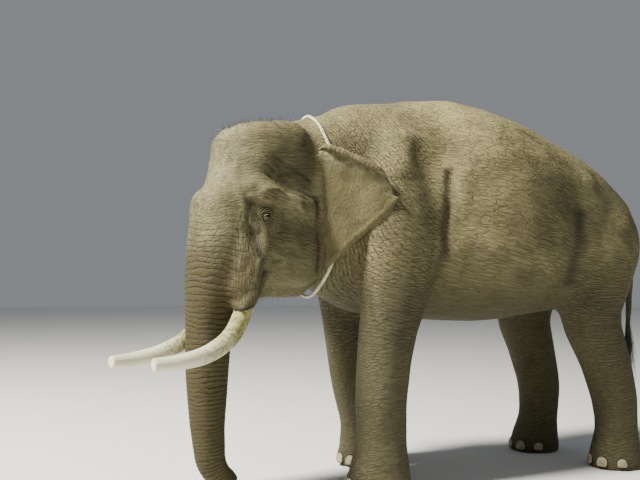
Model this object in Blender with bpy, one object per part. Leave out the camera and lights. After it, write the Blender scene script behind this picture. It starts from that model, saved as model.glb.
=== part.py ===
"""A life-size Asian elephant bull, standing, with short sawn tusks and a rope round its neck.

Metres, +Z up. The animal faces -X and its left side is -Y. The flesh is lofted from named cross
sections, blended into one body, and then parted with thin cuts where a person would name its parts.
The sizes below are measured from the middle of the body. The finished model's origin lies on the
floor, at the middle of the whole animal's box.
"""

import math

import bmesh
import bpy
import numpy as np
from mathutils import Matrix, Vector
from mathutils.bvhtree import BVHTree

# ---------------------------------------------------------------- driving sizes

GAP = 0.0008  # how far a cutter is grown before it cuts the neighbour of what it cut out
PLACE = Vector((0.018, 0.017, 0.0))  # brings the middle of the animal's box to the origin
HEAD_TURN = math.radians(16.0)  # the head looks a little to the left
HEAD_TILT = math.radians(-2.5)  # and its left side is a little higher
NECK_JOINT = Vector((-0.75, 0.0, 2.0))  # the head turns about this point
SIDES = {"left": -1, "right": 1}  # and the signs of Y

# The voxel of each blend, and how many rounds of smoothing follow it.
BODY_VOXEL, BODY_ROUNDS = 0.034, 8
HEAD_VOXEL, HEAD_ROUNDS = 0.020, 9
WHOLE_VOXEL, WHOLE_ROUNDS = 0.022, 6
FLESH_TRIANGLES = 3100

EYE_AT = (-1.343, 1.822)  # x and z on the side of the head
EYE_RADIUS = 0.021
EYE_SUNK = 0.010  # the eyeball's centre lies this far under the skin
TUSK_RADIUS = 0.060
NOSTRIL = ((-1.350, 0.024, 0.110), (0.055, 0.016, 0.022))  # middle and half sizes
FORE_NAILS, HIND_NAILS = 5, 4
NAIL_FAN = math.radians(128)  # the nails' spread round the front of the foot
NAIL_HALF = Vector((0.018, 0.046, 0.046))  # half thickness, half width and half height
NAIL_LEAN = math.radians(10)  # how far a nail's top leans back
NAIL_LIFT = 0.008  # how far the nails end above the floor
NAIL_SHRINK = 0.18  # how much smaller the outermost nails are, as a share
LEG_SAMPLES = 200  # points along a leg when a nail's place is looked up
ROPE_RADIUS = 0.011

# A cross section: x, y, z of its centre, its reach to the front or top, to the back or
# bottom, and to each side, and how square it is (2 is an ellipse).
TORSO = {
    "rump end": (1.98, 0, 1.74, 0.12, 0.14, 0.13, 2.0),
    "rump": (1.90, 0, 1.74, 0.31, 0.36, 0.33, 2.0),
    "tail base": (1.72, 0, 1.76, 0.46, 0.46, 0.46, 2.0),
    "hip": (1.42, 0, 1.78, 0.67, 0.57, 0.56, 2.0),
    "loin": (1.05, 0, 1.76, 0.88, 0.60, 0.65, 2.0),
    "belly": (0.60, 0, 1.73, 1.03, 0.62, 0.73, 2.0),
    "girth": (0.15, 0, 1.73, 1.075, 0.60, 0.61, 2.0),
    "withers": (-0.30, 0, 1.84, 0.97, 0.66, 0.47, 2.0),
    "neck base": (-0.58, 0, 1.93, 0.82, 0.60, 0.41, 2.0),
    "neck": (-0.85, 0, 1.98, 0.65, 0.52, 0.36, 2.0),
    "nape": (-1.05, 0, 2.00, 0.50, 0.42, 0.30, 2.0),
}
FORELEG = {
    "shoulder blade": (-0.20, 0.28, 2.44, 0.14, 0.14, 0.10, 2.0),
    "shoulder": (-0.24, 0.37, 2.12, 0.25, 0.25, 0.155, 2.0),
    "upper arm": (-0.25, 0.43, 1.76, 0.29, 0.29, 0.185, 2.1),
    "elbow": (-0.28, 0.43, 1.42, 0.25, 0.27, 0.185, 2.1),
    "forearm": (-0.34, 0.42, 1.08, 0.205, 0.215, 0.182, 2.0),
    "wrist": (-0.385, 0.41, 0.62, 0.185, 0.185, 0.176, 2.0),
    "pastern": (-0.39, 0.41, 0.28, 0.175, 0.188, 0.176, 2.0),
    "foot": (-0.40, 0.41, 0.10, 0.222, 0.215, 0.213, 2.1),
    "sole": (-0.40, 0.41, -0.06, 0.232, 0.225, 0.223, 2.1),
}
HINDLEG = {
    "haunch": (1.50, 0.26, 2.06, 0.24, 0.24, 0.17, 2.0),
    "thigh": (1.50, 0.36, 1.76, 0.38, 0.37, 0.22, 2.1),
    "lower thigh": (1.43, 0.40, 1.44, 0.33, 0.31, 0.215, 2.1),
    "knee": (1.37, 0.41, 1.15, 0.24, 0.25, 0.19, 2.0),
    "shank": (1.47, 0.41, 0.84, 0.19, 0.21, 0.178, 2.0),
    "hock": (1.56, 0.40, 0.52, 0.17, 0.19, 0.165, 2.0),
    "pastern": (1.57, 0.40, 0.26, 0.162, 0.172, 0.16, 2.0),
    "foot": (1.56, 0.40, 0.09, 0.205, 0.195, 0.195, 2.1),
    "sole": (1.56, 0.40, -0.06, 0.215, 0.205, 0.205, 2.1),
}
LEGS = {"foreleg": FORELEG, "hindleg": HINDLEG}
# How far each foot is set back from the square stance, growing from STRIDE_TOP down.
STRIDE = {
    ("foreleg", "left"): 0.0,
    ("foreleg", "right"): 0.30,
    ("hindleg", "left"): 0.06,
    ("hindleg", "right"): -0.12,
}
STRIDE_TOP = 1.45

# The head's own sections run down from the crown, before it is turned.
SKULL = {
    "crown": (-1.13, 0, 2.52, 0.12, 0.12, 0.14, 2.0),
    "domes": (-1.14, 0, 2.44, 0.26, 0.24, 0.26, 2.1),
    "forehead": (-1.18, 0, 2.27, 0.32, 0.32, 0.33, 2.3),
    "temple": (-1.18, 0, 2.08, 0.36, 0.34, 0.34, 2.3),
    "eyes": (-1.17, 0, 1.90, 0.40, 0.35, 0.35, 2.3),
    "cheek": (-1.11, 0, 1.70, 0.40, 0.34, 0.35, 2.2),
    "jaw joint": (-1.01, 0, 1.50, 0.32, 0.26, 0.29, 2.1),
    "jaw angle": (-0.98, 0, 1.38, 0.22, 0.18, 0.19, 2.0),
    "throat": (-0.98, 0, 1.30, 0.12, 0.10, 0.10, 2.0),
}
# The trunk hangs plumb, so its lower sections make up for the head's tilt.
TRUNK = {
    "root": (-1.40, 0, 2.10, 0.12, 0.12, 0.15, 2.0),
    "bridge": (-1.45, 0, 1.94, 0.20, 0.20, 0.24, 2.1),
    "base": (-1.505, 0, 1.70, 0.21, 0.20, 0.235, 2.1),
    "lip": (-1.555, 0, 1.46, 0.188, 0.19, 0.220, 2.1),
    "rim": (-1.58, 0.008, 1.31, 0.172, 0.180, 0.190, 2.1),
    "tusks": (-1.59, 0.018, 1.18, 0.158, 0.158, 0.163, 2.1),
    "middle": (-1.60, 0.034, 0.90, 0.148, 0.145, 0.150, 2.0),
    "lower": (-1.60, 0.050, 0.62, 0.130, 0.128, 0.132, 2.0),
    "bend": (-1.585, 0.062, 0.38, 0.112, 0.108, 0.115, 2.0),
    "curl": (-1.55, 0.070, 0.21, 0.104, 0.092, 0.108, 2.0),
    "tip": (-1.48, 0.074, 0.125, 0.084, 0.080, 0.094, 2.0),
    "end": (-1.38, 0.076, 0.105, 0.066, 0.064, 0.078, 2.1),
}
JAW = {
    "hinge": (-0.95, 0, 1.52, 0.10, 0.14, 0.20, 2.0),
    "body": (-1.10, 0, 1.43, 0.10, 0.12, 0.17, 2.0),
    "chin": (-1.22, 0, 1.375, 0.075, 0.075, 0.115, 2.0),
    "lip": (-1.31, 0, 1.30, 0.048, 0.048, 0.062, 2.0),
    "lip tip": (-1.35, 0, 1.20, 0.022, 0.022, 0.026, 2.0),
}
# The sheaths that hold the tusks, one on each side of the trunk.
SHEATH = {
    "top": (-1.26, 0.19, 1.88, 0.11, 0.11, 0.12, 2.0),
    "middle": (-1.34, 0.20, 1.62, 0.15, 0.13, 0.125, 2.0),
    "lip": (-1.43, 0.210, 1.40, 0.135, 0.110, 0.105, 2.0),
    "rim": (-1.468, 0.222, 1.300, 0.110, 0.088, 0.084, 2.0),
    "edge": (-1.478, 0.226, 1.270, 0.080, 0.075, 0.070, 2.0),
}
# Round forms on the skull: centre and half sizes, the right one's.
BULGES = {
    "dome": ((-1.17, 0.150, 2.36), (0.30, 0.175, 0.170)),
    "brow": ((-1.32, 0.235, 2.01), (0.17, 0.115, 0.110)),
    "cheekbone": ((-1.06, 0.300, 1.89), (0.26, 0.090, 0.100)),
    "chewing muscle": ((-1.02, 0.25, 1.63), (0.22, 0.120, 0.26)),
    "ear base": ((-0.90, 0.27, 2.02), (0.13, 0.11, 0.29)),
}
NOSE_BUMP = ((-1.475, 0, 1.99), (0.16, 0.23, 0.15))
# Hollows pressed into the flesh: centre, reach and depth, and whether they turn with the head.
HOLLOWS = {
    "between the domes": ((-1.20, 0.0, 2.52), 0.075, 0.030, True),
    "forehead": ((-1.46, 0.0, 2.18), 0.13, 0.020, True),
    "temple": ((-1.20, 0.37, 2.13), 0.11, 0.045, True),
    "eye": ((-1.345, 0.34, 1.872), 0.055, 0.012, True),
    "below the eye": ((-1.30, 0.36, 1.74), 0.09, 0.028, True),
    "cheek": ((-1.22, 0.35, 1.56), 0.08, 0.030, True),
    "behind the arm": ((0.12, 0.64, 1.80), 0.13, 0.045, False),
    "armpit": ((0.12, 0.60, 1.46), 0.12, 0.045, False),
    "flank": ((1.10, 0.66, 1.98), 0.15, 0.045, False),
    "behind the blade": ((0.08, 0.46, 2.30), 0.16, 0.030, False),
}
TUSK = {  # x, y and z of the axis, and the radius as a share of TUSK_RADIUS
    "socket": (-1.40, 0.215, 1.42, 0.92),
    "rim": (-1.475, 0.228, 1.24, 1.00),
    "sag": (-1.59, 0.255, 1.07, 1.02),
    "sweep": (-1.78, 0.290, 0.965, 0.94),
    "turn": (-1.98, 0.305, 0.925, 0.81),
    "tip": (-2.165, 0.290, 0.915, 0.67),
}
TAIL = {
    "root": (1.86, 0, 2.06, 0.075, 0.075, 0.085, 2.0),
    "bend": (2.02, 0, 1.99, 0.058, 0.058, 0.068, 2.0),
    "upper": (2.10, 0, 1.78, 0.045, 0.045, 0.052, 2.0),
    "middle": (2.12, 0, 1.40, 0.032, 0.032, 0.036, 2.0),
    "lower": (2.10, 0, 1.05, 0.022, 0.022, 0.026, 2.0),
    "end": (2.09, 0, 0.86, 0.016, 0.016, 0.020, 2.0),
}
TUFT = {
    "top": (2.09, 0, 0.857, 0.015, 0.015, 0.018, 2.0),
    "full": (2.09, 0, 0.70, 0.030, 0.030, 0.052, 2.0),
    "low": (2.09, 0, 0.50, 0.020, 0.020, 0.034, 2.0),
    "end": (2.09, 0, 0.42, 0.006, 0.006, 0.008, 2.0),
}

# The ear lies in a plane of its own: s runs back from its root, t up from the top of the root.
EAR_TOP = (-0.895, 0.360, 2.30)
EAR_FLARE = {"left": math.radians(40), "right": math.radians(36)}
EAR_EDGE, EAR_ROOT, EAR_ROLL = 0.011, 0.022, 0.027  # half thicknesses: margin, root and roll
EAR_OUTLINE = {
    "root top": (-0.02, 0.01),
    "roll start": (0.08, -0.01),
    "roll middle": (0.24, -0.085),
    "roll end": (0.41, -0.185),
    "shoulder": (0.455, -0.27),
    "tip": (0.485, -0.36),
    "under tip": (0.43, -0.45),
    "lower edge": (0.23, -0.61),
    "lobe": (0.06, -0.755),
    "bottom": (-0.02, -0.81),
    "lobe front": (-0.07, -0.73),
    "front edge": (-0.075, -0.55),
    "front": (-0.08, -0.35),
    "root": (-0.08, -0.15),
}
EAR_MIDDLE = (0.16, -0.36)
EAR_RINGS = 4
EAR_BOW, EAR_BOW_WIDTH = 0.03, 0.45  # how far the middle stands out, and over what width
EAR_LOBE_IN = 0.06  # how far the lobe's bottom turns in toward the throat
EAR_LOBE_TOP, EAR_LOBE_HEIGHT = -0.40, 0.40
EAR_ROLL_START, EAR_ROLL_FALL = (0.04, -0.02), -0.42  # where the roll starts and how it falls
EAR_ROLL_WIDTH, EAR_ROLL_OUT = 0.035, 0.018
EAR_ROOT_WIDTH = 0.15
EAR_MARGIN_SHARE = 0.45  # the margin's thickness, as a share of the thickness beside it

# The rope round the neck hangs from the nape and loosely under the throat.
ROPE_MIDDLE = Vector((-0.785, 0.0, 1.93))
ROPE_BACKWARD = 0.14  # how far its sides lie behind its top and bottom
ROPE_SLACK = 0.07  # how far its lowest point hangs clear of the throat
ROPE_POINTS = 48
ROPE_SMOOTHINGS, ROPE_PUSHES = 2, 6
ROPE_CLEAR = 2.0  # the least distance from the skin, as a share of its radius

# Where the flesh is parted: a prism with its outline in the named plane, running from one
# place to another across it, and whether it turns with the head. The first ones cut first.
REGIONS = {
    "trunk_tip": ("XZ", [(-2.1, -0.2), (-1.0, -0.2), (-1.0, 0.28), (-2.1, 0.28)], (-0.5, 0.5), True),
    "trunk_lower": ("XZ", [(-2.1, 0.1), (-1.0, 0.1), (-1.0, 0.70), (-2.1, 0.70)], (-0.5, 0.5), True),
    "trunk_middle": (
        "XZ",
        [(-2.1, 0.6), (-1.385, 0.6), (-1.385, 1.12), (-2.1, 1.12)],
        (-0.5, 0.5),
        True,
    ),
    "trunk_upper": (
        "XZ",
        [(-2.1, 0.9), (-1.385, 0.9), (-1.375, 1.50), (-1.45, 1.60), (-2.1, 1.60)],
        (-0.6, 0.6),
        True,
    ),
    "jaw": (
        "XZ",
        [(-1.45, 1.0), (-0.92, 1.0), (-0.92, 1.34), (-1.10, 1.48), (-1.17, 1.48), (-1.45, 1.37)],
        (-0.6, 0.6),
        True,
    ),
    "head": ("XZ", [(-2.4, 0.9), (-0.87, 0.9), (-0.87, 3.0), (-2.4, 3.0)], (-0.8, 0.8), True),
    "foreleg_left": (
        "YZ",
        [(-1.2, -0.2), (-0.06, -0.2), (-0.06, 1.20), (-0.75, 1.72), (-1.2, 1.72)],
        (-0.74, 0.07),
        False,
    ),
    "foreleg_right": (
        "YZ",
        [(1.2, -0.2), (0.06, -0.2), (0.06, 1.20), (0.75, 1.72), (1.2, 1.72)],
        (-0.74, 0.12),
        False,
    ),
    "neck": (
        "XZ",
        [(-1.8, 0.9), (-0.66, 0.9), (-0.62, 1.9), (-0.47, 3.0), (-1.8, 3.0)],
        (-0.8, 0.8),
        False,
    ),
    "hindleg_left": (
        "YZ",
        [(-1.2, -0.2), (-0.05, -0.2), (-0.05, 1.28), (-0.66, 1.96), (-1.2, 1.96)],
        (0.98, 2.6),
        False,
    ),
    "hindleg_right": (
        "YZ",
        [(1.2, -0.2), (0.05, -0.2), (0.05, 1.28), (0.66, 1.96), (1.2, 1.96)],
        (0.96, 2.6),
        False,
    ),
}

# ---------------------------------------------------------------- materials

COLOURS = {
    "skin": (0.19, 0.17, 0.12, 0.85),
    "ivory": (0.72, 0.68, 0.50, 0.40),
    "eye": (0.05, 0.03, 0.02, 0.10),
    "nail": (0.36, 0.32, 0.23, 0.55),
    "hair": (0.03, 0.03, 0.03, 0.60),
    "rope": (0.45, 0.42, 0.30, 0.90),
}


def finish(name):
    """The named finish, a Principled BSDF with its colour and roughness."""
    found = bpy.data.materials.get(name)
    if found:
        return found
    made = bpy.data.materials.new(name)
    made.use_nodes = True
    shader = made.node_tree.nodes["Principled BSDF"]
    *colour, roughness = COLOURS[name]
    shader.inputs["Base Color"].default_value = (*colour, 1.0)
    shader.inputs["Roughness"].default_value = roughness
    return made


# ---------------------------------------------------------------- mesh tools


def clear_scene():
    for item in list(bpy.data.objects):
        bpy.data.objects.remove(item)


def new_object(name, bm, slot="skin"):
    bmesh.ops.recalc_face_normals(bm, faces=bm.faces)
    mesh = bpy.data.meshes.new(name)
    bm.to_mesh(mesh)
    bm.free()
    made = bpy.data.objects.new(name, mesh)
    mesh.materials.append(finish(slot))
    bpy.context.scene.collection.objects.link(made)
    return made


def spline(rows, samples):
    """Points on a smooth curve through the rows, evenly spaced along their first three columns."""
    rows = np.array(rows, float)
    steps = np.linalg.norm(np.diff(rows[:, :3], axis=0), axis=1)
    at = np.concatenate([[0.0], np.cumsum(steps)])
    slopes = np.gradient(rows, at, axis=0)
    where = np.linspace(0.0, at[-1], samples)
    k = np.clip(np.searchsorted(at, where, side="right") - 1, 0, len(at) - 2)
    span = (at[k + 1] - at[k])[:, None]
    t = ((where - at[k])[:, None]) / span
    t2, t3 = t * t, t * t * t
    return (
        (2 * t3 - 3 * t2 + 1) * rows[k]
        + (t3 - 2 * t2 + t) * span * slopes[k]
        + (3 * t2 - 2 * t3) * rows[k + 1]
        + (t3 - t2) * span * slopes[k + 1]
    )


def loft(sections, samples=30, around=28, mirror=1):
    """A closed skin over cross sections. Seen along the path, a section's front or top is
    square to the path and to Y. mirror of -1 puts it on the left."""
    rows = np.array(list(sections.values()), float)
    rows[:, 1] *= mirror
    path = spline(rows, samples)
    tangents = np.gradient(path[:, :3], axis=0)
    bm = bmesh.new()
    rings = []
    for row, tangent in zip(path, tangents):
        along = Vector(tangent).normalized()
        front = Vector((0, 1, 0)).cross(along).normalized()
        across = along.cross(front)
        reach_front, reach_back, reach_side, squareness = row[3:7]
        ring = []
        for k in range(around):
            angle = 2 * math.pi * k / around
            c, s = math.cos(angle), math.sin(angle)
            x = math.copysign(abs(c) ** (2 / squareness), c) * reach_side
            y = math.copysign(abs(s) ** (2 / squareness), s)
            y *= reach_front if s > 0 else reach_back
            ring.append(bm.verts.new(Vector(row[:3]) + across * x + front * y))
        rings.append(ring)
    for lower, upper in zip(rings, rings[1:]):
        for k in range(around):
            n = (k + 1) % around
            bm.faces.new((lower[k], lower[n], upper[n], upper[k]))
    bm.faces.new(rings[0])
    bm.faces.new(rings[-1])
    return bm


def ball(centre, half_sizes, turn=None, rings=14, around=20):
    """An ellipsoid, turned by a rotation if one is given."""
    bm = bmesh.new()
    bmesh.ops.create_uvsphere(bm, u_segments=around, v_segments=rings, radius=1.0)
    scale = Matrix.Diagonal((*half_sizes, 1.0))
    place = Matrix.Translation(centre) @ (turn.to_4x4() if turn else Matrix()) @ scale
    bmesh.ops.transform(bm, matrix=place, verts=bm.verts)
    return bm


def joined(parts):
    """Several meshes in one, still as separate shells."""
    whole = bmesh.new()
    for bm in parts:
        holder = bpy.data.meshes.new("holder")
        bm.to_mesh(holder)
        bm.free()
        whole.from_mesh(holder)
        bpy.data.meshes.remove(holder)
    return whole


def settled(item):
    """Applies the object's modifiers, and gives it back."""
    graph = bpy.context.evaluated_depsgraph_get()
    mesh = bpy.data.meshes.new_from_object(item.evaluated_get(graph))
    old = item.data
    item.modifiers.clear()
    item.data = mesh
    bpy.data.meshes.remove(old)
    return item


def blended(name, parts, voxel, rounds):
    """Fuses overlapping shells into one skin and softens where they meet."""
    item = new_object(name, joined(parts))
    fuse = item.modifiers.new("fuse", "REMESH")
    fuse.mode = "VOXEL"
    fuse.voxel_size = voxel
    soften = item.modifiers.new("soften", "SMOOTH")
    soften.factor = 0.5
    soften.iterations = rounds
    return settled(item)


def taken_out(item):
    """The object's mesh as a bmesh, with the object removed."""
    bm = bmesh.new()
    bm.from_mesh(item.data)
    mesh = item.data
    bpy.data.objects.remove(item)
    bpy.data.meshes.remove(mesh)
    return bm


def thinned(item, triangles):
    """Reduces a mesh to about that many triangles."""
    item.data.calc_loop_triangles()
    reduce = item.modifiers.new("reduce", "DECIMATE")
    reduce.ratio = min(1.0, triangles / len(item.data.loop_triangles))
    return settled(item)


def copy_of(item, name):
    made = item.copy()
    made.data = item.data.copy()
    made.name = name
    bpy.context.scene.collection.objects.link(made)
    return made


def combined(item, tool, operation):
    """Applies one Boolean with a tool that stays for other uses."""
    cut = item.modifiers.new("cut", "BOOLEAN")
    cut.operation = operation
    cut.solver = "EXACT"
    cut.object = tool
    return settled(item)


def grown(item, name, by):
    """A copy of the object with its skin moved out by a distance, for cutting its neighbour."""
    made = copy_of(item, name)
    bm = bmesh.new()
    bm.from_mesh(made.data)
    bm.normal_update()
    moves = [vertex.normal * by for vertex in bm.verts]
    for vertex, move in zip(bm.verts, moves):
        vertex.co += move
    bm.to_mesh(made.data)
    bm.free()
    return made


def discard(*items):
    for item in items:
        mesh = item.data
        bpy.data.objects.remove(item)
        bpy.data.meshes.remove(mesh)


# ---------------------------------------------------------------- the posed head

HEAD_POSE = (
    Matrix.Translation(NECK_JOINT)
    @ Matrix.Rotation(HEAD_TURN, 4, "Z")
    @ Matrix.Rotation(HEAD_TILT, 4, "X")
    @ Matrix.Translation(-NECK_JOINT)
)


def turned_with_head(bm):
    bmesh.ops.transform(bm, matrix=HEAD_POSE, verts=bm.verts)
    return bm


# ---------------------------------------------------------------- flesh


def strode(sections, leg, side):
    """A leg's sections with its foot set forward or back."""
    made = {}
    for name, (x, y, z, *rest) in sections.items():
        share = max(0.0, (STRIDE_TOP - z) / STRIDE_TOP)
        made[name] = (x + STRIDE[leg, side] * min(share, 1.0), y, z, *rest)
    return made


def body_flesh():
    parts = [loft(TORSO, samples=44, around=40)]
    for side, sign in SIDES.items():
        for leg, sections in LEGS.items():
            parts.append(loft(strode(sections, leg, side), mirror=sign))
    return blended("body", parts, BODY_VOXEL, BODY_ROUNDS)


def head_flesh():
    parts = [loft(SKULL), loft(TRUNK, samples=48), loft(JAW), ball(*NOSE_BUMP)]
    for sign in SIDES.values():
        parts.append(loft(SHEATH, mirror=sign))
        for (x, y, z), half_sizes in BULGES.values():
            parts.append(ball((x, sign * y, z), half_sizes))
    parts = [turned_with_head(bm) for bm in parts]
    return blended("head flesh", parts, HEAD_VOXEL, HEAD_ROUNDS)


def flattened_soles(item):
    """Cuts the feet off level with the floor."""
    bm = taken_out(item)
    found = bmesh.ops.bisect_plane(
        bm,
        geom=[*bm.verts, *bm.edges, *bm.faces],
        plane_co=(0, 0, 0),
        plane_no=(0, 0, -1),
        clear_outer=True,
    )
    rim = [part for part in found["geom_cut"] if isinstance(part, bmesh.types.BMEdge)]
    bmesh.ops.holes_fill(bm, edges=rim)
    return new_object("flesh", bm)


def press_hollows(item):
    """Sinks the flesh round each hollow's centre, on both sides."""
    spots = []
    for (x, y, z), reach, depth, with_head in HOLLOWS.values():
        for sign in SIDES.values() if y else [1]:
            centre = Vector((x, sign * y, z))
            spots.append((HEAD_POSE @ centre if with_head else centre, reach, depth))
    bm = taken_out(item)
    bm.normal_update()
    moves = []
    for vertex in bm.verts:
        sunk = sum(
            depth * math.exp(-(((vertex.co - centre).length / reach) ** 2))
            for centre, reach, depth in spots
            if (vertex.co - centre).length < 3 * reach
        )
        moves.append(vertex.normal * -sunk)
    for vertex, move in zip(bm.verts, moves):
        vertex.co += move
    return new_object("flesh", bm)


def whole_flesh():
    body, head = body_flesh(), head_flesh()
    whole = blended("flesh", [taken_out(body), taken_out(head)], WHOLE_VOXEL, WHOLE_ROUNDS)
    return flattened_soles(thinned(press_hollows(whole), FLESH_TRIANGLES))


# ---------------------------------------------------------------- what is set in the flesh


def tusk(side, name):
    rows = {
        place: (x, y, z, share * TUSK_RADIUS, share * TUSK_RADIUS, share * TUSK_RADIUS, 2.0)
        for place, (x, y, z, share) in TUSK.items()
    }
    bm = turned_with_head(loft(rows, samples=14, around=10, mirror=SIDES[side]))
    return new_object(name, bm, "ivory")


def eye(side, name, skin):
    """An eyeball a little sunk in the side of the head."""
    sign = SIDES[side]
    x, z = EYE_AT
    start = HEAD_POSE @ Vector((x, sign, z))
    inward = HEAD_POSE.to_3x3() @ Vector((0, -sign, 0))
    surface, normal, *_ = skin.ray_cast(start, inward)
    centre = surface - normal * EYE_SUNK
    return new_object(name, ball(centre, [EYE_RADIUS] * 3, rings=7, around=10), "eye")


def nail_places(leg, side):
    """The turn about Z and the middle of each nail round the front of one foot."""
    count = FORE_NAILS if leg == "foreleg" else HIND_NAILS
    height = NAIL_HALF.z + NAIL_LIFT
    path = spline(list(strode(LEGS[leg], leg, side).values()), LEG_SAMPLES)
    x, y, _, front, _, reach, _ = path[np.argmin(abs(path[:, 2] - height))]
    for k in range(count):
        turn = NAIL_FAN * (k / (count - 1) - 0.5)
        out = Vector((-front * math.cos(turn), -reach * math.sin(turn), 0))
        yield k + 1, turn, Vector((x, SIDES[side] * y, height)) + out


def nail(name, turn, middle, size):
    spin = Matrix.Rotation(turn, 3, "Z") @ Matrix.Rotation(NAIL_LEAN, 3, "Y")
    return new_object(name, ball(middle, NAIL_HALF * size, spin, rings=4, around=8), "nail")


def nails():
    made = []
    for leg in LEGS:
        for side in SIDES:
            for number, turn, middle in nail_places(leg, side):
                size = 1 - NAIL_SHRINK * (1 - math.cos(math.pi * turn / NAIL_FAN))
                made.append(nail(f"nail_{leg}_{side}_{number}", turn, middle, size))
    return made


# ---------------------------------------------------------------- ears, tail and rope


def closed_curve(points, per_span):
    """Points on a smooth closed curve through the given ones."""
    points = np.array(points, float)
    curve = []
    for k in range(len(points)):
        a, b, c, d = (points[(k + j) % len(points)] for j in (-1, 0, 1, 2))
        for t in np.arange(per_span) / per_span:
            bent = (2 * a - 5 * b + 4 * c - d) * t * t + (3 * b - a - 3 * c + d) * t**3
            curve.append(b + 0.5 * ((c - a) * t + bent))
    return curve


def ear_shape(s, t):
    """How far the ear's middle layer stands out of its plane, and its half thickness."""
    share = min(max(s / EAR_BOW_WIDTH, 0.0), 1.0)
    bow = EAR_BOW * math.sin(math.pi * share)
    lobe = -EAR_LOBE_IN * max(0.0, (EAR_LOBE_TOP - t) / EAR_LOBE_HEIGHT) ** 2
    roll_s, roll_t = EAR_ROLL_START
    roll_line = roll_t + EAR_ROLL_FALL * max(0.0, s - roll_s)
    roll = math.exp(-(((t - roll_line) / EAR_ROLL_WIDTH) ** 2)) if s > 0 else 0.0
    root = 1 - min(max(s / EAR_ROOT_WIDTH, 0.0), 1.0)
    thick = EAR_EDGE + (EAR_ROOT - EAR_EDGE) * root + (EAR_ROLL - EAR_EDGE) * roll * (1 - root)
    return bow + lobe + EAR_ROLL_OUT * roll, thick


def ear(side, name):
    """A leaf of flesh, its two faces made of rings that grow from the middle to the margin."""
    sign = SIDES[side]
    flare = EAR_FLARE[side]
    back = Vector((math.cos(flare), sign * math.sin(flare), 0))
    out = Vector((-math.sin(flare), sign * math.cos(flare), 0))
    origin = Vector((EAR_TOP[0], sign * EAR_TOP[1], EAR_TOP[2]))
    middle = np.array(EAR_MIDDLE)
    margin = closed_curve(list(EAR_OUTLINE.values()), 2)
    bm = bmesh.new()

    def corner(spot, layer, swell):
        off, thick = ear_shape(*spot)
        flat = origin + back * spot[0] + Vector((0, 0, spot[1]))
        return bm.verts.new(flat + out * (off + layer * thick * swell))

    rims = []
    for layer in (1, -1):
        grid = []
        for ring in range(1, EAR_RINGS + 1):
            swell = EAR_MARGIN_SHARE if ring == EAR_RINGS else 1.0
            spots = [middle + (place - middle) * ring / EAR_RINGS for place in margin]
            grid.append([corner(spot, layer, swell) for spot in spots])
        hub = corner(middle, layer, 1.0)
        for k in range(len(margin)):
            n = (k + 1) % len(margin)
            bm.faces.new((hub, grid[0][k], grid[0][n]))
            for inner, outer in zip(grid, grid[1:]):
                bm.faces.new((inner[k], outer[k], outer[n], inner[n]))
        rims.append(grid[-1])
    for k in range(len(margin)):
        n = (k + 1) % len(margin)
        bm.faces.new((rims[0][k], rims[1][k], rims[1][n], rims[0][n]))
    return new_object(name, turned_with_head(bm))


def neck_rope(skin):
    """A closed loop that lies on the skin and sags below the throat."""
    points = []
    for k in range(ROPE_POINTS):
        angle = 2 * math.pi * k / ROPE_POINTS
        start = ROPE_MIDDLE + Vector((ROPE_BACKWARD * math.sin(angle) ** 2, 0, 0))
        outward = Vector((0, math.sin(angle), math.cos(angle)))
        surface, *_ = skin.ray_cast(start, outward)
        sag = ROPE_SLACK * max(0.0, -math.cos(angle)) ** 2
        points.append(surface + outward * (ROPE_RADIUS * ROPE_CLEAR + sag))
    for _ in range(ROPE_SMOOTHINGS):
        points = [
            (points[k - 1] + points[k] * 2 + points[(k + 1) % ROPE_POINTS]) / 4
            for k in range(ROPE_POINTS)
        ]
    for _ in range(ROPE_PUSHES):
        points = [pushed_clear(point, skin, ROPE_RADIUS * ROPE_CLEAR) for point in points]
    curve = bpy.data.curves.new("neck_rope", "CURVE")
    curve.dimensions = "3D"
    curve.bevel_depth = ROPE_RADIUS
    curve.bevel_resolution = 1
    line = curve.splines.new("POLY")
    line.points.add(ROPE_POINTS - 1)
    for spot, point in zip(line.points, points):
        spot.co = (*point, 1.0)
    line.use_cyclic_u = True
    made = bpy.data.objects.new("neck_rope", curve)
    curve.materials.append(finish("rope"))
    bpy.context.scene.collection.objects.link(made)
    return made


def pushed_clear(point, skin, distance):
    """Moves a point out until it is that far from the skin."""
    surface, normal, _, away = skin.find_nearest(point)
    inside = (point - surface).dot(normal) < 0
    short = distance + away if inside else distance - away
    return point + normal * max(0.0, short)


# ---------------------------------------------------------------- parting the flesh


def prism(name, plane, outline, ends, with_head):
    bm = bmesh.new()
    rings = []
    for end in ends:
        if plane == "XZ":
            corners = [(u, end, z) for u, z in outline]
        else:
            corners = [(end, u, z) for u, z in outline]
        rings.append([bm.verts.new(corner) for corner in corners])
    count = len(outline)
    for k in range(count):
        n = (k + 1) % count
        bm.faces.new((rings[0][k], rings[0][n], rings[1][n], rings[1][k]))
    bm.faces.new(rings[0])
    bm.faces.new(rings[1])
    return new_object(name, turned_with_head(bm) if with_head else bm)


def part_flesh(flesh):
    """Cuts each region out of the flesh in turn. What is left is the torso."""
    for name, region in REGIONS.items():
        cutter = prism("cutter", *region)
        combined(copy_of(flesh, name), cutter, "INTERSECT")
        wider = grown(cutter, "wider cutter", GAP)
        combined(flesh, wider, "DIFFERENCE")
        discard(cutter, wider)
    flesh.name = "torso"


def open_nostrils(flesh):
    (x, y, z), half_sizes = NOSTRIL
    for sign in SIDES.values():
        middle = (x, TRUNK["end"][1] + sign * y, z)
        hole = new_object("nostril", turned_with_head(ball(middle, half_sizes, rings=6, around=8)))
        combined(flesh, hole, "DIFFERENCE")
        discard(hole)


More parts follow.
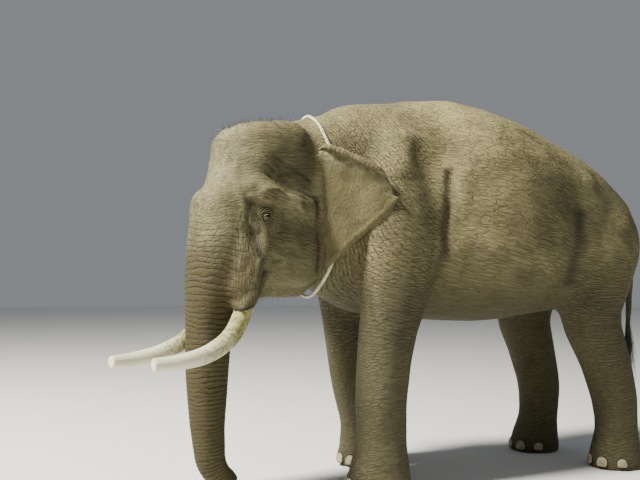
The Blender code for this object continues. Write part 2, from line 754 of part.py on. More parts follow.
def main():
    clear_scene()
    flesh = whole_flesh()
    open_nostrils(flesh)
    skin = BVHTree.FromObject(flesh, bpy.context.evaluated_depsgraph_get())
    on_skin = [ear(side, f"ear_{side}") for side in SIDES]
    on_skin.append(new_object("tail", loft(TAIL, samples=12, around=8)))
    on_skin += nails()
    outside = grown(flesh, "flesh, grown", 2 * GAP)
    for item in on_skin:
        combined(item, outside, "DIFFERENCE")
    discard(outside)
    new_object("tail_tuft", loft(TUFT, samples=7, around=8), "hair")
    neck_rope(skin)
    in_sockets = [tusk(side, f"tusk_{side}") for side in SIDES]
    in_sockets += [eye(side, f"eye_{side}", skin) for side in SIDES]
    for item in in_sockets:
        socket = grown(item, "socket", GAP)
        combined(flesh, socket, "DIFFERENCE")
        discard(socket)
    part_flesh(flesh)
    for item in bpy.context.scene.objects:
        item.location = PLACE


main()
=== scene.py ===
"""The looks of a life-size Asian elephant bull: one wrinkled skin over the parted flesh, with eyes,
sawn tusks, toenails, a worn neck rope, and sparse bristles on the crown, chin and tail.

The animal faces -X and its left side is -Y. Head features are placed in the head's own frame, which
is symmetrical about y = 0 before the head is turned and tilted on the neck.
"""

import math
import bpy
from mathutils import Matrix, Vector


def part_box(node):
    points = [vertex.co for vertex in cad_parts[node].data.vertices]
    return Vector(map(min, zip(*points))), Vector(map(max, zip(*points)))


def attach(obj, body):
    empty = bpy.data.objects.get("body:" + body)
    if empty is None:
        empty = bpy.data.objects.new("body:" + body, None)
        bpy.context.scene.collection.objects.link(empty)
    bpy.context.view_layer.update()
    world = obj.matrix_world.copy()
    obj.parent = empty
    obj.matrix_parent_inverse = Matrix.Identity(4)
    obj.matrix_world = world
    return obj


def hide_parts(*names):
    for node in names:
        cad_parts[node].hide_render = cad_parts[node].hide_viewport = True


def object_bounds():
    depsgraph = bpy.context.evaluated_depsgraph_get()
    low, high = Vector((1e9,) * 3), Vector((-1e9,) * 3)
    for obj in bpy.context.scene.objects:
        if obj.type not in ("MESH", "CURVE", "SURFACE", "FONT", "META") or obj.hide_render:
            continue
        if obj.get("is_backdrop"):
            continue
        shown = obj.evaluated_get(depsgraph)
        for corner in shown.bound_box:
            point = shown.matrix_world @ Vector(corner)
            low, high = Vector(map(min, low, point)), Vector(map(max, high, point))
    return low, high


bl_info = {
    "name": "Asian elephant bull",
    "version": (1, 0, 0),
    "blender": (4, 5, 0),
    "location": "3D View > Sidebar > Elephant",
    "description": "Gives the packed elephant its skin, ivory, nails, rope, hair and stage",
    "category": "Object",
}

import bmesh
import bpy
import numpy as np
from mathutils import Matrix, Vector
from mathutils.bvhtree import BVHTree

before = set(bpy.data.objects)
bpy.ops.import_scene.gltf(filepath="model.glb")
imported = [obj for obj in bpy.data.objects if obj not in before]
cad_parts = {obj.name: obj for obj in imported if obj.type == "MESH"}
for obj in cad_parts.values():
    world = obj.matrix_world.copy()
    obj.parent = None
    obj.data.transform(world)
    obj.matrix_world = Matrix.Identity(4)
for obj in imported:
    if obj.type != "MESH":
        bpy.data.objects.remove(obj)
CAD_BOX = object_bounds()

BODY = "root"
SIDES = {"left": -1, "right": 1}  # and the signs of Y
BOX_MARGIN = 0.0005  # how far inside the CAD's box every piece stays

# ---------------- the head's frame

PLACE = Vector((0.018, 0.017, 0.0))  # the middle of the body, from the middle of the floor box
NECK_JOINT = Vector((-0.75, 0.0, 2.0))
HEAD_TURN = math.radians(16.0)
HEAD_TILT = math.radians(-2.5)
HEAD_POSE = (
    Matrix.Translation(PLACE + NECK_JOINT)
    @ Matrix.Rotation(HEAD_TURN, 4, "Z")
    @ Matrix.Rotation(HEAD_TILT, 4, "X")
    @ Matrix.Translation(-NECK_JOINT)
)
BODY_POSE = Matrix.Translation(PLACE)


def moved(points, matrix):
    """Points, one to a row, taken through a matrix."""
    turn = np.array(matrix.to_3x3())
    return np.asarray(points, float) @ turn.T + np.array(matrix.translation)


def turned(way):
    """A direction on the head as it points once the head is turned and tilted."""
    return np.array(HEAD_POSE.to_3x3() @ Vector(way))


def mirrored(points, sign):
    """Points or directions of the right side, taken to the left if the sign is -1."""
    return np.array(points) * (1, sign, 1)


# ---------------- numbers over many points


def ramp(values, low, high):
    """0 below low, 1 above high and smooth between. low may be the larger."""
    share = np.clip((values - low) / (high - low), 0.0, 1.0)
    return share * share * (3.0 - 2.0 * share)


def bell(distance, width):
    return np.exp(-((distance / width) ** 2))


class Grain:
    """Smooth random values over space, the same on each run."""

    SIZE = 32

    def __init__(self, seed):
        self.lattice = np.random.default_rng(seed).uniform(-1.0, 1.0, (self.SIZE,) * 3)

    def at(self, points, size):
        """Values from -1 to 1 that change over about that size in metres."""
        where = np.asarray(points, float) / size
        low = np.floor(where).astype(int)
        share = where - low
        share = share * share * (3.0 - 2.0 * share)
        total = np.zeros(len(where))
        for corner in np.ndindex(2, 2, 2):
            weight = np.prod(np.where(corner, share, 1.0 - share), axis=1)
            i, j, k = ((low + corner) % self.SIZE).T
            total += weight * self.lattice[i, j, k]
        return total


def lengths(points):
    """How far along the line through the points each of them lies."""
    steps = np.linalg.norm(np.diff(points, axis=0), axis=1)
    return np.concatenate([[0.0], np.cumsum(steps)])


def between(rows, at, where):
    """The rows at one or more places along them. at is where each row lies."""
    return np.stack([np.interp(where, at, column) for column in rows.T], axis=-1)


def nearest(co, spots):
    """How far each point is from the nearest of the spots."""
    return np.min([np.linalg.norm(co - spot, axis=1) for spot in spots], axis=0)


def spline(rows, samples):
    """Points on a smooth curve through the rows, evenly spaced along their first three columns."""
    rows = np.array(rows, float)
    at = lengths(rows[:, :3])
    slopes = np.gradient(rows, at, axis=0)
    where = np.linspace(0.0, at[-1], samples)
    k = np.clip(np.searchsorted(at, where, side="right") - 1, 0, len(at) - 2)
    span = (at[k + 1] - at[k])[:, None]
    t = (where - at[k])[:, None] / span
    t2, t3 = t * t, t * t * t
    return (
        (2 * t3 - 3 * t2 + 1) * rows[k]
        + (t3 - 2 * t2 + t) * span * slopes[k]
        + (3 * t2 - 2 * t3) * rows[k + 1]
        + (t3 - t2) * span * slopes[k + 1]
    )


class Path:
    """A smooth line in space, and where points lie beside it."""

    def __init__(self, rows, samples=40):
        self.points = spline(rows, samples)[:, :3]
        self.at = lengths(self.points)
        self.length = self.at[-1]

    def beside(self, co, reach):
        """The points within reach of the line: which they are, how far off, and how far along."""
        low, high = self.points.min(0) - reach, self.points.max(0) + reach
        which = np.flatnonzero(((co > low) & (co < high)).all(axis=1))
        near = np.full(len(which), np.inf)
        along = np.zeros(len(which))
        for k, (start, end) in enumerate(zip(self.points, self.points[1:])):
            step = end - start
            share = np.clip((co[which] - start) @ step / (step @ step), 0.0, 1.0)
            away = np.linalg.norm(co[which] - start - share[:, None] * step, axis=1)
            closer = away < near
            near[closer] = away[closer]
            along[closer] = self.at[k] + share[closer] * math.sqrt(step @ step)
        found = near < reach
        return which[found], near[found], along[found]


# ---------------- mesh tools


def added(name, data):
    """A new object in the scene."""
    made = bpy.data.objects.new(name, data)
    bpy.context.scene.collection.objects.link(made)
    return made


def new_piece(name, mesh, material):
    piece = added(name, mesh)
    mesh.materials.clear()
    mesh.materials.append(material)
    return piece


def mesh_of(bm, name):
    mesh = bpy.data.meshes.new(name)
    bm.to_mesh(mesh)
    bm.free()
    mesh.shade_smooth()
    return mesh


def evaluated(piece):
    """What the object's modifiers make of it, as a new mesh."""
    graph = bpy.context.evaluated_depsgraph_get()
    return bpy.data.meshes.new_from_object(piece.evaluated_get(graph))


def settled(piece):
    """Applies the piece's modifiers."""
    mesh, old = evaluated(piece), piece.data
    piece.modifiers.clear()
    piece.data = mesh
    bpy.data.meshes.remove(old)
    return piece


def discard(piece):
    mesh = piece.data
    bpy.data.objects.remove(piece)
    bpy.data.meshes.remove(mesh)


def taken_out(piece):
    """The piece's mesh as a bmesh, with the object removed."""
    bm = bmesh.new()
    bm.from_mesh(piece.data)
    discard(piece)
    return bm


def add_shell(whole, bm):
    """Adds one bmesh to another and frees it."""
    holder = mesh_of(bm, "holder")
    whole.from_mesh(holder)
    bpy.data.meshes.remove(holder)


def merged_node(name):
    """A CAD node's mesh with its loose triangles merged."""
    bm = bmesh.new()
    bm.from_mesh(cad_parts[name].data)
    bmesh.ops.remove_doubles(bm, verts=bm.verts, dist=1e-5)
    return bm


def listed(items, name, kind=np.int32, width=1):
    """One property of all the items, in rows if it holds more than one number."""
    values = np.empty(len(items) * width, kind)
    items.foreach_get(name, values)
    return values.reshape(-1, width) if width > 1 else values


def read(mesh, name="co"):
    return listed(mesh.vertices, name, np.float32, 3).astype(float)


def write(mesh, co):
    mesh.vertices.foreach_set("co", co.astype(np.float32).ravel())
    mesh.update()


def keep(mesh, name, values):
    """Stores a value at each point, for the materials and the bristles."""
    layer = mesh.attributes.get(name) or mesh.attributes.new(name, "FLOAT", "POINT")
    layer.data.foreach_set("value", values.astype(np.float32))


def kept(mesh, name):
    return listed(mesh.attributes[name].data, "value", np.float32).astype(float)


def inside_box(co):
    """The points brought just inside the CAD's box. The soles stay on the floor."""
    low, high = (np.array(corner) for corner in CAD_BOX)
    return np.clip(co, low + (BOX_MARGIN, BOX_MARGIN, 0.0), high - BOX_MARGIN)


def hand_over(piece, slot, *replaced):
    """Fixes a finished piece to the body, in place of the CAD nodes that it replaces."""
    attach(piece, BODY)
    if replaced:
        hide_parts(*replaced)


class Net:
    """A mesh's points and the edges between them, for smoothing values over the surface."""

    def __init__(self, mesh):
        self.first, self.second = listed(mesh.edges, "vertices", width=2).T
        self.count = len(mesh.vertices)
        self.degree = self.gathered(np.ones(len(self.first)), np.ones(len(self.first)))

    def gathered(self, to_first, to_second):
        """Sums a value of each edge at its two ends."""
        return np.bincount(self.first, to_first, self.count) + np.bincount(
            self.second, to_second, self.count
        )

    def average(self, values):
        """Each point's neighbours' mean."""
        if values.ndim == 1:
            total = self.gathered(values[self.second], values[self.first])
            return total / self.degree
        return np.stack([self.average(column) for column in values.T], axis=1)

    def smooth(self, values, rounds, share=0.5):
        for _ in range(rounds):
            values = values + (self.average(values) - values) * share
        return values

    def settle(self, co, rounds):
        """Smooths a surface and gives back what that takes from its broad form."""
        soft = self.smooth(co, rounds)
        return soft + self.smooth(co - soft, rounds)

    def potential(self, co, direction, start, rounds):
        """A value over the surface that grows by a metre for each metre along the direction."""
        step = co[self.second] - co[self.first]
        way = (direction[self.first] + direction[self.second]) / 2
        rise = (step * way).sum(axis=1)
        wanted = self.gathered(-rise, rise)

        def spread(values):
            change = values[self.first] - values[self.second]
            return self.gathered(change, -change)

        found = start.copy()
        left = wanted - spread(found)
        way, size = left.copy(), left @ left
        for _ in range(rounds):
            image = spread(way)
            step_size = size / (way @ image)
            found += step_size * way
            left -= step_size * image
            new_size = left @ left
            way = left + way * (new_size / size)
            size = new_size
        return found


# ---------------- shader tools


class Value:
    """A number that varies over a surface. Python's operators on it add Math nodes."""

    def __init__(self, tree, socket):
        self.tree, self.socket = tree, socket

    def calc(self, operation, *others):
        return self.tree.node("ShaderNodeMath", {"operation": operation}, self, *others)

    def __add__(self, other):
        return self.calc("ADD", other)

    __radd__ = __add__

    def __sub__(self, other):
        return self.calc("SUBTRACT", other)

    def __rsub__(self, other):
        return self.tree.node("ShaderNodeMath", {"operation": "SUBTRACT"}, other, self)

    def __mul__(self, other):
        return self.calc("MULTIPLY", other)

    __rmul__ = __mul__

    def __truediv__(self, other):
        return self.calc("DIVIDE", other)

    def stepped(self, low, high, before, after):
        settings = {"interpolation_type": "SMOOTHSTEP"}
        return self.tree.node("ShaderNodeMapRange", settings, self, low, high, before, after)

    def above(self, low, high):
        """0 below low, 1 above high and smooth between."""
        return self.stepped(low, high, 0.0, 1.0)

    def below(self, low, high):
        """1 below low, 0 above high and smooth between."""
        return self.stepped(low, high, 1.0, 0.0)

    def at_most(self, other):
        return self.calc("MINIMUM", other)

    def size(self):
        return self.calc("ABSOLUTE")


class Finish:
    """A material and short ways to add nodes to it."""

    def __init__(self, name, roughness=0.8, **fixed):
        self.material = bpy.data.materials.new(name)
        self.material.use_nodes = True
        self.tree = self.material.node_tree
        self.shader = self.tree.nodes["Principled BSDF"]
        self.shader.inputs["Roughness"].default_value = roughness
        for socket, value in fixed.items():
            self.shader.inputs[socket.replace("_", " ")].default_value = value
        self.place = self.node("ShaderNodeTexCoord", {}, output="Object")

    def node(self, kind, settings, *ordered, output=None, **named):
        """Adds a node, sets what it is, then gives its sockets their values or links."""
        made = self.tree.nodes.new(kind)
        for name, value in settings.items():
            setattr(made, name, value)
        sockets = [socket for socket in made.inputs if socket.enabled]
        pairs = list(zip(sockets, ordered))
        pairs += [(made.inputs[name.replace("_", " ")], value) for name, value in named.items()]
        for socket, value in pairs:
            if isinstance(value, Value):
                self.tree.links.new(value.socket, socket)
            else:
                socket.default_value = value
        found = [socket for socket in made.outputs if socket.enabled]
        return Value(self, made.outputs[output] if output else found[0])

    def attribute(self, name):
        return self.node("ShaderNodeAttribute", {"attribute_name": name}, output="Fac")

    def attributes(self, names):
        return [self.attribute(name) for name in names.split()]

    def vector(self, operation, *values):
        return self.node("ShaderNodeVectorMath", {"operation": operation}, *values)

    def scaled(self, vector, by):
        return self.node("ShaderNodeVectorMath", {"operation": "SCALE"}, vector, Scale=by)

    def combined(self, x, y, z):
        return self.node("ShaderNodeCombineXYZ", {}, x, y, z)

    def noise(self, size, detail=2.0, place=None, roughness=0.5):
        """Soft random values from 0 to 1 that change over about that size in metres."""
        return self.node(
            "ShaderNodeTexNoise",
            {},
            output="Fac",
            Vector=place or self.place,
            Scale=1.0 / size,
            Detail=detail,
            Roughness=roughness,
        )

    def cells(self, place, feature="DISTANCE_TO_EDGE"):
        """Random cells a unit of the place across: how far it is to their edges, or their middles."""
        return self.node(
            "ShaderNodeTexVoronoi", {"feature": feature}, output="Distance", Vector=place, Scale=1.0
        )

    def mix(self, share, first, second):
        """Blends two colours."""
        colours = [value if isinstance(value, Value) else (*value, 1.0) for value in (first, second)]
        return self.node("ShaderNodeMix", {"data_type": "RGBA"}, share, *colours)

    def bump(self, height, distance):
        """Turns heights, as shares of the distance, into slopes."""
        return self.node("ShaderNodeBump", {}, Distance=distance, Height=height)

    def wear(self, **sockets):
        """Links the values to the surface shader."""
        for name, value in sockets.items():
            self.tree.links.new(value.socket, self.shader.inputs[name.replace("_", " ")])
        return self.material


# ---------------- the flesh

FLESH = (
    "head", "jaw", "neck", "torso", "trunk_upper", "trunk_middle", "trunk_lower", "trunk_tip",
    "foreleg_left", "foreleg_right", "hindleg_left", "hindleg_right", "tail",
)
WELD = 0.0015  # each part is grown by this, to close the cuts between them
FLESH_VOXEL = 0.019
FLESH_ROUNDS, HEAD_ROUNDS = 13, 4  # how often the whole is smoothed, and then the head
TUSK_PLUG_END = 1.30  # each tusk's socket is filled above this height on the head
HEAD_BACK = -0.80  # in front of this the skin has finer faces
NAIL_FINE = 0.085  # and this near a nail's middle
EYE_FINE, EYE_FINEST = 0.100, 0.070  # and finer ones still this near an eye, in two steps


def bridged(bm, rings):
    """Makes the faces between each ring of points and the next, from the first point on."""
    for lower, upper in zip(rings, rings[1:]):
        for k in range(len(lower)):
            n = (k + 1) % len(lower)
            yield n, bm.faces.new((lower[k], lower[n], upper[n], upper[k]))


def grow(bm, by):
    """Moves every point out along its normal."""
    bm.normal_update()
    moves = [vertex.normal * by for vertex in bm.verts]
    for vertex, move in zip(bm.verts, moves):
        vertex.co += move


def tusk_plug(side):
    """The part of a tusk that lies deep in its socket."""
    bm = merged_node(f"tusk_{side}")
    cut = bmesh.ops.bisect_plane(
        bm,
        geom=[*bm.verts, *bm.edges, *bm.faces],
        plane_co=HEAD_POSE @ Vector((0, 0, TUSK_PLUG_END)),
        plane_no=HEAD_POSE.to_3x3() @ Vector((0, 0, 1)),
        clear_inner=True,
    )
    rim = [part for part in cut["geom_cut"] if isinstance(part, bmesh.types.BMEdge)]
    bmesh.ops.holes_fill(bm, edges=rim)
    return bm


def sleeve(side):
    """The flesh drawn down round a tusk's root, lower in front than behind."""
    rows = tusk_path(side)
    at = Path(rows[:, :3]).at
    front = mirrored(SHEATH_FRONT, SIDES[side])
    bm, rings = bmesh.new(), []
    for k in range(SLEEVE_RINGS + SLEEVE_END_RINGS):
        share = k / SLEEVE_RINGS
        rounding = max(0.0, share - 1) * SLEEVE_END_RINGS
        ring = []
        for turn in np.arange(SLEEVE_AROUND) * 2 * math.pi / SLEEVE_AROUND:
            rough_way = np.array((math.cos(turn), math.sin(turn), 0.0))
            end = TUSK_RIM_AT + SHEATH_SLANT * (rough_way @ front)
            stop = SLEEVE_TOP + (end - SLEEVE_TOP) * min(share, 1.0)
            centre = between(rows, at, stop)
            ahead = between(rows, at, stop + TUSK_STEP)[:3] - centre[:3]
            ahead /= np.linalg.norm(ahead)
            way = rough_way - ahead * (rough_way @ ahead)
            way /= np.linalg.norm(way)
            radius = centre[3] + SLEEVE_WALL * (1 - rounding**2)
            spot = centre[:3] + way * radius + ahead * SLEEVE_LIP * rounding
            ring.append(bm.verts.new(HEAD_POSE @ Vector(spot)))
        rings.append(ring)
    list(bridged(bm, rings))
    bm.faces.new(rings[0])
    bm.faces.new(rings[-1])
    bmesh.ops.recalc_face_normals(bm, faces=bm.faces)
    return bm


def subdivide_near(bm, is_near):
    """Quarters the faces whose corners all lie where is_near says."""
    near = is_near(np.array([vertex.co for vertex in bm.verts]))
    edges = [edge for edge in bm.edges if all(near[vertex.index] for vertex in edge.verts)]
    bmesh.ops.subdivide_edges(bm, edges=edges, cuts=1, use_grid_fill=True)
    bm.verts.index_update()


def soften_where(mesh, share, rounds):
    """Smooths the surface where the share is 1, and leaves it where the share is 0."""
    net, co = Net(mesh), read(mesh)
    for _ in range(rounds):
        co = co + (net.average(co) - co) * share[:, None] * 0.5
    write(mesh, co)


def whole_flesh(finish):
    """The flesh nodes as one closed skin with no cut or facet, finer on the head and round the eyes."""
    shells = [merged_node(name) for name in FLESH + ("eye_left", "eye_right")]
    shells += [tusk_plug(side) for side in SIDES]
    shells += [sleeve(side) for side in SIDES]
    whole = bmesh.new()
    for bm in shells:
        grow(bm, WELD)
        add_shell(whole, bm)
    piece = new_piece("skin", mesh_of(whole, "skin"), finish)
    fuse = piece.modifiers.new("fuse", "REMESH")
    fuse.mode = "VOXEL"
    fuse.voxel_size = FLESH_VOXEL
    settled(piece)
    write(piece.data, Net(piece.data).settle(read(piece.data), FLESH_ROUNDS))
    bm = taken_out(piece)
    eyes = [eye_centre(side) for side in SIDES]
    nails = [first for leg in NAIL_COUNTS for side in SIDES for first, *_ in nails_of(leg, side)]
    tip = np.array(HEAD_POSE @ Vector(TIP_END))
    subdivide_near(bm, lambda co: moved(co, HEAD_POSE.inverted())[:, 0] < HEAD_BACK)
    for spots, reach in ((nails, NAIL_FINE), ([tip], TIP_FINE), (eyes, EYE_FINE), (eyes, EYE_FINEST)):
        subdivide_near(bm, lambda co: nearest(co, spots) < reach)
    bmesh.ops.triangulate(bm, faces=[face for face in bm.faces if len(face.verts) > 4])
    piece = new_piece("skin", mesh_of(bm, "skin"), finish)
    along = moved(read(piece.data), HEAD_POSE.inverted())[:, 0]
    soften_where(piece.data, ramp(along, HEAD_BACK + 0.05, HEAD_BACK), HEAD_ROUNDS)
    return piece


def middle_of(node):
    low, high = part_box(node)
    return (low + high) / 2


def eye_centre(side):
    return np.array(middle_of(f"eye_{side}"))


# ---------------- ears

# The ear lies in a plane of its own: s runs back from its root, t up from the top of the root.
EAR_TOP = (-0.895, 0.360, 2.30)
EAR_FLARE = {"left": math.radians(40), "right": math.radians(36)}
EAR_OUTLINE = {
    "root top": (-0.02, 0.00),
    "roll start": (0.08, -0.02),
    "roll middle": (0.24, -0.095),
    "roll end": (0.40, -0.190),
    "shoulder": (0.450, -0.27),
    "tag top": (0.470, -0.335),
    "tag": (0.500, -0.352),
    "tag under": (0.472, -0.385),
    "under tip": (0.43, -0.45),
    "lower edge": (0.23, -0.61),
    "lobe": (0.06, -0.755),
    "bottom": (-0.02, -0.81),
    "lobe front": (-0.07, -0.73),
    "front edge": (-0.075, -0.55),
    "front": (-0.08, -0.35),
    "root": (-0.08, -0.15),
}
EAR_MIDDLE = (0.16, -0.36)
EAR_GRAIN = Grain(5)
EAR_RINGS, EAR_SPAN_POINTS = 18, 14
EAR_BOW, EAR_BOW_WIDTH = 0.03, 0.45
EAR_LOBE_IN, EAR_LOBE_TOP, EAR_LOBE_HEIGHT = 0.06, -0.40, 0.40
EAR_WAVE, EAR_WAVE_HEIGHT = 0.14, 0.012
EAR_RIPPLE, EAR_RIPPLE_HEIGHT = 0.06, 0.006
EAR_DISH, EAR_HEM = -0.030, 0.010  # how far its middle is hollowed and its lower hem stands out
EAR_THICK = 0.016
ROLL_RADIUS, ROLL_RINGS, ROLL_TURN = 0.021, 7, math.radians(215)
ROLL_STARTS, ROLL_FULL = (-0.04, 0.43), (0.05, 0.36)  # along s: where it begins and ends
PUCKER_SPACING, PUCKER_HEIGHT = 0.030, 0.16


def closed_curve(points, per_span):
    """Points on a smooth closed curve through the given ones."""
    points = np.array(points, float)
    curve = []
    for k in range(len(points)):
        a, b, c, d = (points[(k + j) % len(points)] for j in (-1, 0, 1, 2))
        for t in np.arange(per_span) / per_span:
            bent = (2 * a - 5 * b + 4 * c - d) * t * t + (3 * b - a - 3 * c + d) * t**3
            curve.append(b + 0.5 * ((c - a) * t + bent))
    return np.array(curve)


def ear_bend(s, t, rim):
    """How far the ear stands out of its plane. rim runs from 0 in the middle to 1 at the margin."""
    share = np.clip(s / EAR_BOW_WIDTH, 0.0, 1.0)
    bow = EAR_BOW * np.sin(math.pi * share)
    lobe = -EAR_LOBE_IN * np.clip((EAR_LOBE_TOP - t) / EAR_LOBE_HEIGHT, 0.0, None) ** 2
    spot = np.stack([s, t, np.zeros_like(s)], axis=-1).reshape(-1, 3)
    waves = EAR_WAVE_HEIGHT * EAR_GRAIN.at(spot, EAR_WAVE)
    waves += EAR_RIPPLE_HEIGHT * EAR_GRAIN.at(spot + 3.0, EAR_RIPPLE)
    waves = waves.reshape(np.shape(s)) * (0.4 + 0.6 * rim**2)
    dish = EAR_DISH * bell(s - 0.20 + 0.25 * (t + 0.35), 0.10) * ramp(-t, 0.10, 0.25)
    hem = EAR_HEM * bell(rim - 0.90, 0.06) * ramp(-t, 0.30, 0.45)
    return bow + lobe + waves + dish + hem


def ear_sheet(side, finish):
    """A thin leaf of flesh. Its upper margin rolls outward and over, and is puckered."""
    sign = SIDES[side]
    flare = EAR_FLARE[side]
    back = mirrored((math.cos(flare), math.sin(flare), 0), sign)
    out = mirrored((-math.sin(flare), math.cos(flare), 0), sign)
    origin = mirrored(EAR_TOP, sign)
    middle = np.array(EAR_MIDDLE)
    margin = closed_curve(list(EAR_OUTLINE.values()), EAR_SPAN_POINTS)
    count = len(margin)
    tangent = np.roll(margin, -1, 0) - np.roll(margin, 1, 0)
    tangent /= np.linalg.norm(tangent, axis=1)[:, None]
    outward = np.stack([-tangent[:, 1], tangent[:, 0]], axis=1)
    outward *= np.sign(((margin - middle) * outward).sum(1))[:, None]
    on_top = margin[:, 1] > EAR_MIDDLE[1] + 0.10
    roll = ramp(margin[:, 0], ROLL_STARTS[0], ROLL_FULL[0])
    roll *= ramp(margin[:, 0], ROLL_STARTS[1], ROLL_FULL[1]) * on_top
    pucker = 1.0 + PUCKER_HEIGHT * np.sin(2 * math.pi * lengths(margin) / PUCKER_SPACING) * roll
    rings = []
    for ring in range(1, EAR_RINGS + 1):
        rim = ring / EAR_RINGS
        flat = middle + (margin - middle) * rim
        rings.append((flat, ear_bend(flat[:, 0], flat[:, 1], rim)))
    edge, edge_out = rings[-1]
    for ring in range(1, ROLL_RINGS + 1):
        turn = ROLL_TURN * ring / ROLL_RINGS
        radius = (ROLL_RADIUS * roll * pucker)[:, None]
        flat = edge + outward * radius * math.sin(turn)
        rings.append((flat, edge_out + radius[:, 0] * (1 - math.cos(turn))))
    bm = bmesh.new()

    def corner(flat, off):
        return bm.verts.new(origin + back * flat[0] + np.array((0, 0, flat[1])) + out * off)

    grid = [[corner(flat, off) for flat, off in zip(*ring)] for ring in rings]
    hub = corner(middle, ear_bend(middle[:1], middle[1:], 0.0)[0])
    for k in range(count):
        n = (k + 1) % count
        bm.faces.new((hub, grid[0][k], grid[0][n]))
        for inner, outer in zip(grid, grid[1:]):
            bm.faces.new((inner[k], outer[k], outer[n], inner[n]))
    bmesh.ops.remove_doubles(bm, verts=bm.verts, dist=2e-4)
    bmesh.ops.dissolve_degenerate(bm, edges=bm.edges, dist=1e-5)
    bmesh.ops.transform(bm, matrix=HEAD_POSE, verts=bm.verts)
    bmesh.ops.recalc_face_normals(bm, faces=bm.faces)
    piece = new_piece(f"ear_{side}_sheet", mesh_of(bm, "ear"), finish)
    wall = piece.modifiers.new("wall", "SOLIDIFY")
    wall.thickness = EAR_THICK
    wall.offset = 0.0
    return settled(piece)


def united(piece, others):
    """Joins closed shells into the piece, and leaves their faces on its second material."""
    whole = bmesh.new()
    for other in others:
        whole.from_mesh(other.data)
        discard(other)
    marker = bpy.data.materials.new("marker")
    piece.data.materials.append(marker)
    shells = new_piece("shells", mesh_of(whole, "shells"), marker)
    join = piece.modifiers.new("join", "BOOLEAN")
    join.operation = "UNION"
    join.solver = "MANIFOLD"
    join.object = shells
    settled(piece)
    discard(shells)


# ---------------- folds and wrinkles

# Lines and spots on the head are in its own frame, on the right side, and are mirrored.
HEAD_SWELLS = {  # centre, reach along each axis, and height
    "dome": ((-1.235, 0.19, 2.50), (0.15, 0.15, 0.16), -0.027),
    "front of the dome": ((-1.42, 0.17, 2.44), (0.08, 0.12, 0.08), -0.004),
    "between the domes": ((-1.30, 0, 2.49), (0.20, 0.050, 0.17), -0.032),
    "forehead": ((-1.48, 0, 2.22), (0.10, 0.11, 0.09), -0.016),
    "bridge": ((-1.62, 0, 1.955), (0.12, 0.17, 0.08), 0.031),
    "above the bridge": ((-1.60, 0, 2.075), (0.10, 0.18, 0.050), -0.026),
    "temple": ((-1.17, 0.33, 2.16), (0.17, 0.11, 0.100), -0.011),
    "side of the crown": ((-1.04, 0.30, 2.29), (0.14, 0.12, 0.13), 0.038),
    "eye socket": ((-1.345, 0.32, 1.905), (0.070, 0.08, 0.026), -0.016),
    "under the cheek bone": ((-1.19, 0.35, 1.79), (0.11, 0.10, 0.09), -0.040),
    "beside the nose": ((-1.425, 0.29, 1.80), (0.052, 0.09, 0.20), -0.021),
    "cheek": ((-1.10, 0.33, 1.62), (0.15, 0.10, 0.14), 0.004),
    "above the mouth": ((-1.252, 0.295, 1.565), (0.062, 0.07, 0.040), 0.022),
    "eye": ((-1.345, 0.31, 1.835), (0.058, 0.09, 0.050), 0.012),
    "under the eye": ((-1.345, 0.315, 1.70), (0.050, 0.06, 0.11), 0.012),
    "tusk sheath": ((-1.45, 0.30, 1.39), (0.080, 0.10, 0.12), 0.018),
    "nape": ((-0.71, 0, 2.63), (0.14, 0.28, 0.13), -0.036),
    "behind the crown": ((-1.00, 0, 2.55), (0.09, 0.24, 0.11), 0.018),
}
HEAD_RIDGES = {  # the points along each, its width and its height
    "cheek bone": (
        [
            (-1.41, 0.30, 1.985), (-1.29, 0.34, 1.992), (-1.19, 0.365, 1.955),
            (-1.13, 0.378, 1.905), (-1.112, 0.374, 1.83),
        ],
        0.034, 0.033,
    ),
    "brow": (
        [(-1.46, 0.25, 1.975), (-1.40, 0.29, 1.950), (-1.34, 0.315, 1.938), (-1.27, 0.335, 1.950)],
        0.022, 0.023,
    ),
    "side of the nose": (
        [
            (-1.44, 0.12, 2.24), (-1.49, 0.17, 2.13), (-1.50, 0.21, 2.03), (-1.475, 0.25, 1.88),
            (-1.475, 0.25, 1.72), (-1.50, 0.262, 1.58), (-1.54, 0.26, 1.45),
        ],
        0.034, 0.011,
    ),
    "temple line": (
        [(-1.46, 0.18, 2.25), (-1.36, 0.27, 2.19), (-1.22, 0.32, 2.12), (-1.08, 0.335, 2.06)],
        0.034, 0.012,
    ),
    "before the ear": (
        [(-0.925, 0.40, 2.19), (-0.935, 0.405, 2.10), (-0.965, 0.385, 2.00)],
        0.018, 0.022,
    ),
    "upper lip": (
        [(-1.39, 0.312, 1.58), (-1.42, 0.315, 1.50), (-1.437, 0.311, 1.415), (-1.46, 0.298, 1.33)],
        0.017, 0.012,
    ),
    "lower lip": (
        [(-1.285, 0.300, 1.49), (-1.310, 0.295, 1.42), (-1.330, 0.275, 1.35), (-1.35, 0.24, 1.28)],
        0.018, 0.014,
    ),
}
